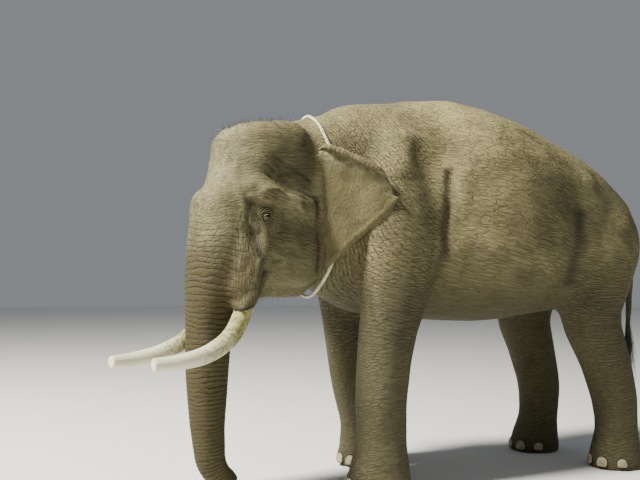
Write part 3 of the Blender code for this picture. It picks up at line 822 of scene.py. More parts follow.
HEAD_GROOVES = {  # the points along each, its width and its depth
    "temple crease": (
        [
            (-1.42, 0.25, 2.15), (-1.314, 0.315, 2.09), (-1.20, 0.345, 2.05),
            (-1.084, 0.35, 2.00), (-0.96, 0.37, 1.94),
        ],
        0.013, 0.009,
    ),
    "upper temple crease": (
        [(-1.36, 0.29, 2.17), (-1.22, 0.33, 2.11), (-1.08, 0.34, 2.05), (-0.98, 0.35, 1.99)],
        0.011, 0.009,
    ),
    "third temple crease": (
        [(-1.30, 0.30, 2.24), (-1.16, 0.32, 2.17), (-1.03, 0.33, 2.10), (-0.97, 0.34, 2.04)],
        0.011, 0.004,
    ),
    "cheek bone crease": (
        [(-1.24, 0.35, 2.00), (-1.14, 0.36, 1.985), (-1.05, 0.365, 1.945), (-0.99, 0.37, 1.88)],
        0.010, 0.007,
    ),
    "nose and cheek": (
        [
            (-1.44, 0.275, 1.95), (-1.425, 0.28, 1.82), (-1.42, 0.285, 1.69),
            (-1.40, 0.31, 1.59), (-1.375, 0.31, 1.52),
        ],
        0.026, 0.007,
    ),
    "mouth": (
        [
            (-1.325, 0.308, 1.515), (-1.355, 0.302, 1.45), (-1.378, 0.297, 1.39),
            (-1.40, 0.280, 1.33), (-1.42, 0.24, 1.27), (-1.42, 0.19, 1.21),
        ],
        0.027, 0.042,
    ),
    "cheek and neck": (
        [(-0.97, 0.37, 1.98), (-0.955, 0.37, 1.80), (-0.95, 0.36, 1.62), (-0.96, 0.33, 1.45)],
        0.020, 0.020,
    ),
}
MOUTH_CORNER = (-1.335, 0.308, 1.515)
MOUTH_FAN = range(9)  # short wrinkles that spread up and back from the corner of the mouth
MOUTH_FAN_START, MOUTH_FAN_STEP = math.radians(-8), math.radians(12)
MOUTH_FAN_REACH = (0.030, 0.080, 0.130)
MOUTH_FAN_WIDTH, MOUTH_FAN_DEPTH = 0.0065, 0.0075
TUSK_AXIS = {  # in the head's frame on the right, with the radius
    "socket": (-1.40, 0.215, 1.42, 0.0550),
    "rim": (-1.475, 0.228, 1.24, 0.0595),
    "sag": (-1.59, 0.255, 1.07, 0.0600),
    "sweep": (-1.78, 0.290, 0.965, 0.0560),
    "turn": (-1.98, 0.305, 0.925, 0.0485),
    "tip": (-2.160, 0.290, 0.915, 0.0400),
}
TUSK_RIM_AT = 0.180  # how far along its axis each tusk leaves the sheath
SHEATH_SLANT = 0.085  # how much lower the sheath reaches in front than behind
SHEATH_FRONT, SHEATH_SIDE = (-0.88, 0.47, 0.0), (0.45, 0.90, 0.0)  # directions on the right
SHEATH_WALL, SHEATH_SWELL, SHEATH_LENGTH = 0.0105, 0.050, 0.125
SHEATH_REACH = 0.16
SLEEVE_TOP, SLEEVE_WALL, SLEEVE_AROUND = 0.04, 0.020, 32
SLEEVE_RINGS, SLEEVE_END_RINGS = 9, 3
SLEEVE_LIP = 0.006  # how far its rounded end reaches past the rest
TUSK_STEP = 0.01  # between the two places that give a tusk's direction
PATCH = 0.12  # how far round an eye, a nail or the trunk's tip the skin is shaped with it
CREASE_POWER = 0.6  # less than 1 makes round ridges with sharp creases between them
WOBBLE, WOBBLE_SIZE = 0.006, 0.09  # how far folds stray from their lines, and over what length


class Surface:
    """A skin's points, and the moves that are being gathered for them."""

    def __init__(self, mesh):
        self.mesh = mesh
        self.net = Net(mesh)
        self.grain = Grain(11)
        self.rough = Grain(23)
        # the skin's colour is darkened by this: painted shade, partly dirt, down in the folds
        self.fold = np.zeros(self.net.count)  # how far each point lies down in a fold
        self.refresh()

    def refresh(self):
        self.co, self.normal = read(self.mesh), read(self.mesh, "normal")
        self.head = moved(self.co, HEAD_POSE.inverted())
        self.body = self.co - np.array(PLACE)
        self.lift = np.zeros(self.net.count)
        unsteady = [self.grain.at(self.co + shift, WOBBLE_SIZE) for shift in (0.0, 3.1, 7.7)]
        self.wobbly = self.co + WOBBLE * np.stack(unsteady, axis=1)

    def place(self, co):
        """Moves the points to these places and starts again."""
        write(self.mesh, co)
        self.refresh()

    def apply(self, smoothing=0):
        """Moves the points by their lift and starts again."""
        normal = self.net.smooth(self.normal, smoothing)
        self.place(self.co + normal * self.lift[:, None])

    def near(self, middle):
        """The points near a place: which they are, and how they lie from it."""
        away = self.co - middle
        which = np.flatnonzero(np.linalg.norm(away, axis=1) < PATCH)
        return which, away[which]

    def deepen(self, share, which=slice(None)):
        """Notes how far the points lie down in a fold, unless another takes them deeper. The skin's colour is
        darkened there as painted shade, partly dirt.
        """
        self.fold[which] = np.maximum(self.fold[which], share)

    def along(self, rows, matrix, width, height):
        """Raises the skin along a line, or sinks it if the height is negative."""
        for sign in SIDES.values():
            path = Path(moved(mirrored(rows, sign), matrix))
            which, away, at = path.beside(self.wobbly, 3 * width)
            fade = min(0.05, path.length / 3)
            ends = ramp(at, 0.0, fade) * ramp(path.length - at, 0.0, fade)
            share = bell(away, width) * ends
            self.lift[which] += height * share
            if height < 0:
                self.deepen(share, which)

    def swell(self, centre, reach, height):
        """Raises a rounded spot of the head on both sides, or sinks it."""
        for sign in SIDES.values() if centre[1] else (1,):
            away = (self.head - mirrored(centre, sign)) / np.array(reach)
            self.lift += height * bell(np.linalg.norm(away, axis=1), 1.0)


def shape_head(skin):
    for centre, reach, height in HEAD_SWELLS.values():
        skin.swell(centre, reach, height)
    skin.apply(6)
    for rows, width, height in HEAD_RIDGES.values():
        skin.along(rows, HEAD_POSE, width, height)
    skin.apply(2)
    for rows, width, depth in HEAD_GROOVES.values():
        skin.along(rows, HEAD_POSE, width, -depth)
    for k in MOUTH_FAN:
        turn = MOUTH_FAN_START + MOUTH_FAN_STEP * k
        way = np.array((math.cos(turn), 0.0, math.sin(turn)))
        rows = [np.array(MOUTH_CORNER) + way * reach for reach in MOUTH_FAN_REACH]
        skin.along(rows, HEAD_POSE, MOUTH_FAN_WIDTH, -MOUTH_FAN_DEPTH)
    skin.apply(3)


def tusk_path(side):
    rows = [(x, y * SIDES[side], z, radius) for x, y, z, radius in TUSK_AXIS.values()]
    return spline(rows, 40)


def round_sheaths(skin):
    """Draws the flesh in to a rounded sheath round each tusk's root."""
    for side, sign in SIDES.items():
        path = Path(tusk_path(side)[:, :3])
        which, away, at = path.beside(skin.head, SHEATH_REACH)
        spots = between(path.points, path.at, at)
        out = (skin.head[which] - spots) / away[:, None].clip(1e-4)
        front = out @ mirrored(SHEATH_FRONT, sign)
        above = TUSK_RIM_AT + SHEATH_SLANT * np.maximum(front, 0.0) - at
        share = np.clip(above / SHEATH_LENGTH, 0.0, 1.0)
        most = TUSK_AXIS["rim"][3] + SHEATH_WALL + SHEATH_SWELL * np.sqrt(share)
        facing = ramp(out @ mirrored(SHEATH_SIDE, sign), -0.35, 0.25)
        facing *= ramp(above, SHEATH_LENGTH * 1.25, SHEATH_LENGTH * 0.85)
        moving = np.minimum(most - away, 0.0) * facing
        spots = skin.head[which] + out * moving[:, None]
        skin.co[which] = moved(spots, HEAD_POSE)
        rim = bell(above - 0.006, 0.014) * (away < TUSK_AXIS["rim"][3] + 0.03)
        skin.deepen(rim * 0.8, which)
    skin.place(skin.co)


TRUNK_AXIS = [
    (-1.47, 0, 1.86),
    (-1.505, 0, 1.70),
    (-1.555, 0, 1.46),
    (-1.58, 0.008, 1.31),
    (-1.59, 0.018, 1.18),
    (-1.60, 0.034, 0.90),
    (-1.60, 0.050, 0.62),
    (-1.585, 0.062, 0.38),
    (-1.55, 0.070, 0.21),
    (-1.48, 0.074, 0.125),
    (-1.38, 0.076, 0.105),
]
RING_TOP, RING_END = 0.042, 0.020  # the spacing of the trunk's rings at its base and its tip
RING_DEPTH, RING_DEPTH_END = 0.0085, 0.0035
TRUNK_REACH = 0.30


def ring_count(skin):
    """How many rings lie above each point of the trunk, and which points have them."""
    path = Path(moved(TRUNK_AXIS, HEAD_POSE), 60)
    which, _, at = path.beside(skin.co, TRUNK_REACH)
    spacing = RING_TOP + (RING_END - RING_TOP) * path.at[1:] / path.length
    turns = np.concatenate([[0.0], np.cumsum(np.diff(path.at) / spacing)])
    place = skin.co[which]
    front = skin.net.smooth(skin.normal, 10)[which] @ turned((-1, 0, 0))
    wander = 0.55 * skin.grain.at(place, 0.17) + 0.30 * skin.rough.at(place, 0.06)
    return which, at / path.length, np.interp(at, path.at, turns) + wander - 0.45 * front


def shape_trunk(skin):
    """Rings round the trunk: round ridges with a sharp crease between each two."""
    which, share, count = ring_count(skin)
    head, place = skin.head[which], skin.co[which]
    ridge = np.abs(np.sin(math.pi * count)) ** CREASE_POWER
    depth = RING_DEPTH + (RING_DEPTH_END - RING_DEPTH) * share
    depth *= 0.75 + 0.45 * skin.rough.at(place * (0.3, 0.3, 1.0) + 5.0, 0.07)
    there = ramp(head[:, 2], 1.75, 1.50) * ramp(head[:, 0], -1.39, -1.46)
    there = np.where(head[:, 2] < 1.22, 1.0, there) * (head[:, 0] < -1.2)
    there *= np.where(head[:, 2] > 1.2, ramp(np.abs(head[:, 1]), 0.27, 0.17), 1.0)
    skin.lift[which] += depth * (ridge - 0.75) * there
    skin.apply()


TIP_END = (-1.387, 0.074, 0.114)  # the middle of the trunk's end, on the head
TIP_FINE = 0.105
TIP_HOLLOW, TIP_HOLLOW_WIDTH = 0.017, 0.036
NOSTRIL_ASIDE, NOSTRIL_DROP, NOSTRIL_WIDTH, NOSTRIL_DEPTH = 0.021, 0.006, 0.0135, 0.034
FINGER_PLACE, FINGER_WIDTH, FINGER_LENGTH = 0.048, 0.022, 0.034


def shape_tip(skin):
    """Two nostrils in the trunk's hollow end, and the one finger over them."""
    before, last = (np.array(spot) for spot in TRUNK_AXIS[-2:])
    out = (last - before) / np.linalg.norm(last - before)
    finger = np.cross((0, 1, 0), out)
    finger *= -np.sign(finger[2]) / np.linalg.norm(finger)
    across = np.cross(out, finger)
    away = skin.head - np.array(TIP_END)
    near = np.linalg.norm(away, axis=1) < PATCH
    ahead, aside, up = away @ out, away @ across, away @ finger
    face = ramp(ahead, -0.060, -0.015) * near
    move = -TIP_HOLLOW * bell(np.hypot(aside, up), TIP_HOLLOW_WIDTH)
    left, right = (
        bell(np.hypot(aside - sign * NOSTRIL_ASIDE, up + NOSTRIL_DROP), NOSTRIL_WIDTH)
        for sign in SIDES.values()
    )
    pit = np.maximum(left, right)
    knob = bell(np.hypot(aside, up - FINGER_PLACE), FINGER_WIDTH)
    move += FINGER_LENGTH * knob - NOSTRIL_DEPTH * pit
    skin.deepen(pit * face)
    skin.place(skin.co + turned(out) * (move * face)[:, None])


# ---------------- lids

EYE_RADIUS = 0.0225
LID_LEAN = math.radians(24)  # how far the front corner of the eye hangs down
LID = 0.0038  # how thick the lids are
EYE_SLIT = 0.029  # half the width of the opening
LID_UPPER, LID_LOWER = 0.0088, 0.0078  # how far it opens up and down
FOLD_WIDTH = 0.0034
LID_RIM_HEIGHT, LID_RIM_AT, LID_RIM_WIDTH = 0.0026, 0.0025, 0.0028
LID_FOLDS = ((0.0115, 0.0060), (0.0250, 0.0066), (0.0400, 0.0060), (0.0550, 0.0040))
LOWER_FOLDS = ((0.0115, 0.0044), (0.0230, 0.0040), (0.0370, 0.0030))  # each: how far off, and depth
BEHIND_LIDS = 0.006  # how far behind the ball's front the skin lies in the slit


def eye_frame(side):
    """The eye's outward, forward and upward directions."""
    turn, sign = HEAD_POSE.to_3x3(), SIDES[side]
    outward = (turn @ Vector((-0.30, sign * 0.95, 0.04))).normalized()
    level = math.cos(LID_LEAN)
    forward = turn @ Vector((-0.95 * level, -sign * 0.30 * level, -math.sin(LID_LEAN)))
    forward = (forward - outward * forward.dot(outward)).normalized()
    upward = forward.cross(outward) * -sign
    return [np.array(way) for way in (outward, forward, upward)]


def shape_lids(skin):
    """Drapes two lids with their folds over each eyeball, and opens a slit between them."""
    for side in SIDES:
        outward, forward, upward = eye_frame(side)
        which, away = skin.near(eye_centre(side))
        out, ahead, up = away @ outward, away @ forward, away @ upward
        span = np.clip(1 - (ahead / EYE_SLIT) ** 2, -1.4, 1.0)
        above = up - LID_UPPER * span
        below = -LID_LOWER * span - up
        outside = np.maximum(above, below)
        flat = np.hypot(ahead, up)
        ball = EYE_RADIUS + LID
        drape = np.sqrt(np.clip(ball**2 - flat**2, 0.0, None))
        lid = np.maximum(out, drape)
        near = ramp(flat, EYE_RADIUS * 1.5, EYE_RADIUS * 0.95)
        lid = lid + (drape - lid) * near
        lid += LID_RIM_HEIGHT * bell(outside - LID_RIM_AT, LID_RIM_WIDTH) * (flat < 0.040)
        wide = ramp(np.abs(ahead), 0.074, 0.036)
        for gap, depth in LID_FOLDS:
            share = bell(above - gap, FOLD_WIDTH) * wide
            lid += depth * (0.55 * bell(above - gap + 0.0075, 0.0045) * wide - share)
            skin.deepen(share * 0.9, which)
        narrow = ramp(np.abs(ahead), 0.060, 0.026)
        for gap, depth in LOWER_FOLDS:
            share = bell(below - gap, FOLD_WIDTH) * narrow
            lid -= depth * share
            skin.deepen(share * 0.7, which)
        inside = np.sqrt(np.clip(EYE_RADIUS**2 - flat**2, 0.0, None)) - BEHIND_LIDS
        opening = ramp(outside, 0.0006, -0.0020) * (flat < EYE_RADIUS * 1.5)
        wanted = lid + (inside - lid) * opening
        skin.co[which] += outward * (wanted - out)[:, None]
        skin.deepen(ramp(outside, 0.0035, 0.0) * (flat < 0.034), which)
    skin.place(skin.co)


# ---------------- folds of the body

# The body's folds are placed from its middle, on the right, and are mirrored.
BODY_GROOVES = {  # the points along each, its width and its depth
    "behind the arm": (
        [
            (0.13, 0.48, 2.22), (0.09, 0.53, 2.02), (0.05, 0.57, 1.80),
            (0.03, 0.57, 1.58), (0.00, 0.53, 1.38),
        ],
        0.034, 0.040,
    ),
    "before the thigh": (
        [(1.20, 0.56, 1.98), (1.14, 0.60, 1.80), (1.10, 0.58, 1.58), (1.12, 0.48, 1.36)],
        0.070, 0.014,
    ),
}
BODY_RIDGES = {  # the points along each, its width and its height
    "behind the arm": (
        [(0.22, 0.52, 2.22), (0.18, 0.58, 2.00), (0.15, 0.62, 1.78), (0.13, 0.60, 1.55)],
        0.060, 0.014,
    ),
    "shoulder blade": (
        [(-0.10, 0.34, 2.50), (-0.20, 0.44, 2.30), (-0.30, 0.50, 2.10)],
        0.070, 0.014,
    ),
    "hip bone": ([(1.40, 0.40, 2.22), (1.28, 0.48, 2.10)], 0.070, 0.012),
}
BODY_FOLD = 0.0045  # how deep the body's own wrinkles are, in the places where they are deepest
BODY_FOLD_SPACING = 0.085
FOOT_REACH = 0.21
NAIL_COUNTS = {"foreleg": 5, "hindleg": 4}
NAIL_HALF = (0.0125, 0.0450, 0.0455)  # half thickness, half width and half height
NAIL_LEAN = math.radians(10)
NAIL_SHRINK = 0.18
NAIL_FAN = math.radians(128)
CUTICLE, NAIL_BED = 0.0070, 0.010  # how high the cuticle stands, and how deep the bed is sunk
NAIL_SQUARE, NAIL_DROP = 3.6, 0.74  # how square a nail's lower half is, and how short
NAIL_FLATNESS, NAIL_WAVE, NAIL_WAVES = 0.80, 0.04, 9


def shape_body(skin):
    for rows, width, height in BODY_RIDGES.values():
        skin.along(rows, BODY_POSE, width, height)
    skin.apply(3)
    for rows, width, depth in BODY_GROOVES.values():
        skin.along(rows, BODY_POSE, width, -depth)
    skin.apply(3)


def nails_of(leg, side):
    """Each nail's middle, its size, and its outward, sideways and upward directions."""
    count = NAIL_COUNTS[leg]
    middles = [np.array(middle_of(f"nail_{leg}_{side}_{k + 1}")) for k in range(count)]
    centre = (middles[0] + middles[-1]) / 2 + (FOOT_REACH * math.cos(NAIL_FAN / 2), 0, 0)
    for middle in middles:
        out = (middle - centre) * (1, 1, 0)
        out /= np.linalg.norm(out)
        turn = math.acos(np.clip(-out[0], -1.0, 1.0))
        size = 1 - NAIL_SHRINK * (1 - math.cos(math.pi * turn / NAIL_FAN))
        across = np.array((-out[1], out[0], 0))
        up = np.array((0, 0, 1)) * math.cos(NAIL_LEAN) - out * math.sin(NAIL_LEAN)
        outward = out * math.cos(NAIL_LEAN) + np.array((0, 0, math.sin(NAIL_LEAN)))
        yield middle, size, outward, across, up


def shape_feet(skin):
    """Beds each nail in the foot, with a cuticle over its top."""
    for leg in NAIL_COUNTS:
        for side in SIDES:
            for middle, size, out, across, up in nails_of(leg, side):
                which, away = skin.near(middle)
                flat = np.stack([away @ across / NAIL_HALF[1], away @ up / NAIL_HALF[2]], axis=1)
                far = np.linalg.norm(flat, axis=1) / size
                over = ramp(flat[:, 1], -0.6, 0.2)
                lift = CUTICLE * bell(far - 1.16, 0.12) * over - NAIL_BED * ramp(far, 1.08, 0.85)
                skin.co[which] += out * lift[:, None]
                skin.deepen(bell(far - 1.0, 0.09) * 0.7, which)
    skin.place(skin.co)


class Regions:
    """How far each point belongs to each part of the body."""

    def __init__(self, skin, on_ear):
        x, _, z = skin.body.T
        head_x, head_y, head_z = skin.head.T
        self.ear = on_ear
        self.head = ramp(head_x, -0.86, -0.98)
        low_trunk = (head_z < 1.22) & (head_x < -1.2)
        trunk = ramp(head_z, 1.80, 1.45) * ramp(head_x, -1.36, -1.46)
        self.trunk = np.where(low_trunk, 1.0, trunk)
        self.neck = (1 - self.head) * ramp(x, -0.28, -0.50) * ramp(z, 1.25, 1.45)
        self.leg = ramp(z, 1.62, 1.20) * (x > -0.72)
        self.elbow = self.leg * ramp(z, 0.85, 1.10) * ramp(x, 0.10, -0.10)
        self.sole = ramp(z, 0.03, 0.0)
        self.flange = ramp(np.abs(head_y), 0.19, 0.25) * ramp(head_x, -1.34, -1.40)
        self.flange *= ramp(head_x, -1.64, -1.56)
        self.flange *= ramp(head_z, 1.92, 1.75) * (head_z > 1.08)
        shoulder = ramp(x, -0.70, -0.50) * ramp(x, 0.20, -0.05) * ramp(z, 1.3, 1.5)
        self.furrows = (self.neck + 0.8 * shoulder + self.elbow).clip(0, 1) * (1 - self.head)
        self.furrows *= 1 - on_ear
        rings = ramp(head_z, 2.00, 1.62) * ramp(head_x, -1.36, -1.46)
        self.rings = np.where(low_trunk, 1.0, rings * ramp(np.abs(head_y), 0.30, 0.22))


FLANK_WAY = (-0.64, 0.0, -0.77)
LINE_WAYS = {  # the way across the wrinkles in each other part, and whether it turns with the head
    "neck": ((-0.97, 0.0, -0.24), False),
    "leg": ((-0.08, 0.0, -1.0), False),
    "head": ((-0.40, 0.0, -0.92), True),
    "trunk": ((0.0, 0.0, -1.0), True),
    "flange": ((-0.93, 0.0, 0.36), True),
}
LINE_ROUNDS = 260


def lay_lines(skin, regions):
    """A value that grows across the wrinkles, so that they turn from one part into the next."""
    way = np.tile(FLANK_WAY, (skin.net.count, 1))
    for part, (wanted, with_head) in LINE_WAYS.items():
        wanted = turned(wanted) if with_head else np.array(wanted)
        way = way + (wanted - way) * getattr(regions, part)[:, None]
    way = skin.net.smooth(way, 12)
    normal = skin.net.smooth(skin.normal, 6)
    way -= normal * (way * normal).sum(axis=1)[:, None]
    way /= np.linalg.norm(way, axis=1)[:, None].clip(0.15)
    start = skin.co @ np.array(FLANK_WAY)
    return skin.net.potential(skin.co, way, start, LINE_ROUNDS)


def wrinkle_body(skin, regions, lines):
    """Wrinkles deep enough to show in the form: on the neck, behind the elbow and on the legs."""
    spots = skin.co + 0.02 * skin.grain.at(skin.co, 0.2)[:, None]
    wander = 0.9 * skin.grain.at(spots, 0.22) + 0.35 * skin.rough.at(spots, 0.08)
    there = regions.neck + 0.7 * regions.elbow + 0.35 * regions.leg * (1 - regions.elbow)
    there = there.clip(0, 1) * (0.55 + 0.45 * skin.rough.at(spots + 9.0, 0.25))
    there *= (1 - regions.head) * (1 - regions.ear) * (1 - regions.sole) * (1 - regions.trunk)
    ridge = np.abs(np.sin(math.pi * (lines / BODY_FOLD_SPACING + wander))) ** CREASE_POWER
    skin.lift += BODY_FOLD * (ridge - 0.75) * there
    skin.deepen(ramp(ridge, 0.5, 0.1) * there * 0.7)
    skin.apply()


# ---------------- the skin's finish

SKIN_TRIANGLES = 196000
PALE_SPOTS = (  # centre on the head, and reach
    ((-1.60, 0.0, 1.95), 0.16),
    ((-1.50, 0.0, 2.18), 0.17),
    ((-1.42, 0.0, 2.40), 0.14),
    ((-1.60, 0.10, 1.72), 0.12),
    # a painted highlight on top of the cheek bone
    ((-1.15, 0.34, 1.97), 0.10),
)
# The ear's rolled rim, the cheek bone's edge, the pad above the mouth, the ear's front edge and the
# sheath beside the tusk, each with its width. On the cheek bone's edge and the pad above the mouth
# the pale colour is a painted highlight.
PALE_LINES = (
    (
        [
            (-0.908, 0.370, 2.267), (-0.821, 0.475, 2.21), (-0.723, 0.565, 2.157),
            (-0.612, 0.639, 2.098), (-0.559, 0.653, 2.018),
        ],
        0.040,
    ),
    ([(-1.15, 0.37, 1.93), (-1.115, 0.378, 1.88), (-1.112, 0.370, 1.81)], 0.026),
    ([(-1.30, 0.32, 1.595), (-1.25, 0.31, 1.565), (-1.20, 0.30, 1.53)], 0.022),
    ([(-0.93, 0.40, 2.18), (-0.94, 0.40, 2.10), (-0.965, 0.385, 2.00)], 0.022),
    ([(-1.44, 0.31, 1.42), (-1.47, 0.30, 1.34), (-1.52, 0.28, 1.25)], 0.030),
)
STREAK_WIDTH = 0.060
CRACK_CELL, FINE_CELL = (0.018, 0.050), (0.011, 0.020)  # across the wrinkles and along them
FURROW_SPACING = 0.026
WRINKLE_DRIFT, WRINKLE_DRIFT_ACROSS = 0.045, 0.05  # how far the cracks stray
# painted shade: the head, the trunk, the legs and the ears are mixed towards this
PAINTED_SHADE_BLACK = (0.0, 0.0, 0.0)


def ring_counts(skin):
    """How many rings of the trunk lie above each point of the skin, and 0 off the trunk."""
    values = np.zeros(skin.net.count)
    which, _, count = ring_count(skin)
    values[which] = count
    return values


def streak_share(skin):
    """Where pale streaks run down beside the ridge of the nose."""
    total = np.zeros(skin.net.count)
    for sign in SIDES.values():
        path = Path(mirrored(HEAD_RIDGES["side of the nose"][0], sign))
        which, away, at = path.beside(skin.head, 3 * STREAK_WIDTH)
        ends = ramp(at, 0.10, 0.25) * ramp(path.length - at, 0.0, 0.20)
        total[which] = np.maximum(total[which], bell(away, STREAK_WIDTH) * ends)
    return total


def pale_share(skin):
    """The patches and lines on the head and the ears that have little pigment, and the painted highlights on the
    cheek bone and above the mouth.
    """
    total = np.zeros(skin.net.count)
    for rows, width in PALE_LINES:
        for sign in SIDES.values():
            which, away, _ = Path(mirrored(rows, sign)).beside(skin.head, 3 * width)
            total[which] = np.maximum(total[which], bell(away, width))
    for centre, reach in PALE_SPOTS:
        for sign in SIDES.values():
            away = np.linalg.norm(skin.head - mirrored(centre, sign), axis=1)
            total = np.maximum(total, bell(away, reach))
    return total


def skin_finish(settings):
    made = Finish("elephant_skin", 0.82, Specular_IOR_Level=0.30)
    lines, fold, head, trunk, ear, leg = made.attributes("lines fold head trunk ear leg")
    sky, pale, furrows, rings = made.attributes("sky pale furrows rings")
    rings_above, streaks, flange = made.attributes("ring_count streaks flange")

    drift = made.node(
        "ShaderNodeTexNoise", {}, output="Color", Vector=made.place, Scale=11.0, Detail=1.0
    )
    drift = made.scaled(made.vector("SUBTRACT", drift, (0.5, 0.5, 0.5)), WRINKLE_DRIFT)
    wandering = made.vector("ADD", made.place, drift)
    broad = made.noise(0.22, 4.0, roughness=0.6)
    spots = made.noise(0.045, 3.0, roughness=0.65)
    grain = made.noise(0.0065, 2.0)
    across = lines + (broad - 0.5) * WRINKLE_DRIFT_ACROSS

    def stretched(short, long):
        """The place, drawn out along the wrinkles."""
        return made.vector(
            "ADD", made.scaled(wandering, 1.0 / long), made.combined(across / short, 0.0, 0.0)
        )

    major = made.cells(stretched(*CRACK_CELL))
    fine = made.cells(stretched(*FINE_CELL), "F1")
    furrow = ((lines / FURROW_SPACING + broad * 2.6 + spots * 0.9) * math.pi).calc("SINE").size()
    furrow = furrow.below(0.05, 0.42) * furrows * spots.above(0.34, 0.52)
    ring = ((rings_above + (spots - 0.5) * 0.35) * math.pi).calc("SINE").size()
    ring = ring.below(0.04, 0.34) * rings
    on_body = (1.0 - trunk) * (1.0 - ear)
    coarse = (on_body + trunk * 0.45 + ear * 0.38) * (1.0 - head * 0.35)
    crack = major.below(0.00, 0.10) * coarse
    seam = fine.above(0.42, 0.75)
    thread = made.noise(1.0, 2.0, made.vector("MULTIPLY", wandering, (85.0, 85.0, 5.0)))
    pleat = thread * (flange * 0.9 + streaks * 0.35)
    height = pleat + major.at_most(0.16) * coarse * 2.3 - seam * 0.16 + grain * 0.15
    height = height - furrow * 0.45 - ring * 0.50

    grey = made.mix(broad.above(0.32, 0.68), settings.dark, settings.light)
    grey = made.mix(trunk * (0.60 + broad.above(0.35, 0.60) * 0.30), grey, settings.trunk)
    grey = made.mix(ear * (0.40 + 0.45 * broad.above(0.35, 0.60)), grey, settings.ear)
    bare = 1.0 - (furrows * 0.45 + head * 0.35).at_most(0.6)
    dusty = (sky * bare * (broad * 0.6 + spots * 0.6).above(0.38, 0.70)).at_most(1.0)
    grey = made.mix(dusty * 0.80, grey, settings.dust)
    # pale skin with little pigment, and painted highlights on the cheek bone and the pad above the mouth
    grey = made.mix(pale * spots.above(0.34, 0.60) * 0.9, grey, settings.pale)
    # painted shade under the body: the legs are darkened with the dark grey, in random patches
    grey = made.mix(leg * broad.above(0.40, 0.60) * 0.6, grey, settings.dark)
    pale_thread = thread.above(0.50, 0.66) * (streaks * 0.34 + flange * 0.34).at_most(0.5)
    grey = made.mix(pale_thread, grey, settings.pale)
    tipped = made.mix(major.above(0.14, 0.40) * coarse * 0.08, grey, settings.dust)
    # painted shade, partly dirt: the cracks, seams, neck furrows and trunk rings are darkened with the crease
    # colour
    crease_shade_and_dirt = crack * 0.36 + seam * (1.0 - ear * 0.2) * 0.16 + furrow * 0.55 + ring * 0.75
    cracked = made.mix(crease_shade_and_dirt.at_most(0.86), tipped, settings.crease)
    mud = made.noise(0.016, 2.0, roughness=0.6).above(0.56, 0.63) * broad.above(0.42, 0.56)
    flecks = mud * sky * (0.45 + head * 0.50)
    cracked = made.mix(flecks * 0.80, cracked, settings.crease)
    # painted shade, partly dirt, down in the folds and grooves, the eye slits and nostrils, and round the nails
    # and the tusk sheaths
    colour = made.mix(fold * 0.75, cracked, settings.crease)
    # painted shade: the head, the trunk, the legs and the ears are darkened towards black
    shade = (head * 0.32 + trunk * 0.29 + leg * 0.42 + ear * 0.31).at_most(0.50)
    colour = made.mix(shade, colour, PAINTED_SHADE_BLACK)
    rough = 0.80 + dusty * 0.08 - major.at_most(0.3) * 0.25
    return made.wear(Base_Color=colour, Roughness=rough, Normal=made.bump(height, settings.relief))


def thin_skin(piece):
    """Brings the skin under its number of triangles, but leaves every face round the eyes."""
    away = nearest(read(piece.data), [eye_centre(side) for side in SIDES])
    guard = piece.vertex_groups.new(name="guard")
    guard.add(np.flatnonzero(away < EYE_FINEST * 0.9).tolist(), 1.0, "REPLACE")
    piece.data.calc_loop_triangles()
    reduce = piece.modifiers.new("reduce", "DECIMATE")
    reduce.ratio = min(1.0, SKIN_TRIANGLES / len(piece.data.loop_triangles))
    reduce.vertex_group = "guard"
    reduce.invert_vertex_group = True
    settled(piece)
    piece.vertex_groups.clear()
    piece.data.shade_smooth()


def make_skin(settings):
    """The flesh is shaped first, then the ears join it, and fine wrinkles run over both."""
    finish = skin_finish(settings)
    piece = whole_flesh(finish)
    flesh = Surface(piece.data)
    shape_head(flesh)
    round_sheaths(flesh)
    shape_body(flesh)
    shape_trunk(flesh)
    shape_tip(flesh)
    shape_feet(flesh)
    shape_lids(flesh)
    keep(piece.data, "fold", flesh.fold)
    united(piece, [ear_sheet(side, finish) for side in SIDES])
    on_ear, seam = ear_share(piece.data)
    piece.data.materials.clear()
    piece.data.materials.append(finish)
    skin = Surface(piece.data)
    skin.fold = kept(piece.data, "fold") * (1 - on_ear)
    skin.place(skin.co + (skin.net.smooth(skin.co, 8) - skin.co) * seam[:, None])
    regions = Regions(skin, on_ear)
    lines = lay_lines(skin, regions)
    sky = skin.net.smooth(skin.normal[:, 2], 8)
    wrinkle_body(skin, regions, lines)
    write(skin.mesh, inside_box(skin.co))
    masks = {
        "lines": lines,
        "fold": skin.fold,
        "sky": ramp(sky, 0.15, 0.80),
        "pale": pale_share(skin),
        "crown": crown_share(skin),
        "chin": chin_share(skin),
        "ring_count": ring_counts(skin),
        "streaks": streak_share(skin),
        "tuft": tuft_share(skin),
    }
    for part in ("trunk", "ear", "leg", "head", "furrows", "rings", "flange"):
        masks[part] = getattr(regions, part)
    for name, values in masks.items():
        keep(skin.mesh, name, values)
    thin_skin(piece)
    hand_over(piece, "skin", *FLESH, "ear_left", "ear_right")


def ear_share(mesh):
    """1 on the ears and 0 on the flesh, soft between them, and 1 along the line where they join."""
    net = Net(mesh)
    corners = listed(mesh.loops, "vertex_index")
    of_ear = listed(mesh.polygons, "material_index") > 0
    of_ear = np.repeat(of_ear, listed(mesh.polygons, "loop_total"))
    ear_faces = np.bincount(corners, of_ear, net.count)
    all_faces = np.bincount(corners, np.ones(len(corners)), net.count)
    share = ear_faces / all_faces
    seam = ((share > 0) & (share < 1)).astype(float)
    for _ in range(3):
        seam = np.maximum(seam, net.average(seam) * 0.98)
    return net.smooth(share, 4), np.clip(net.smooth(seam, 3) * 2.5, 0, 1)


# ---------------- eyes

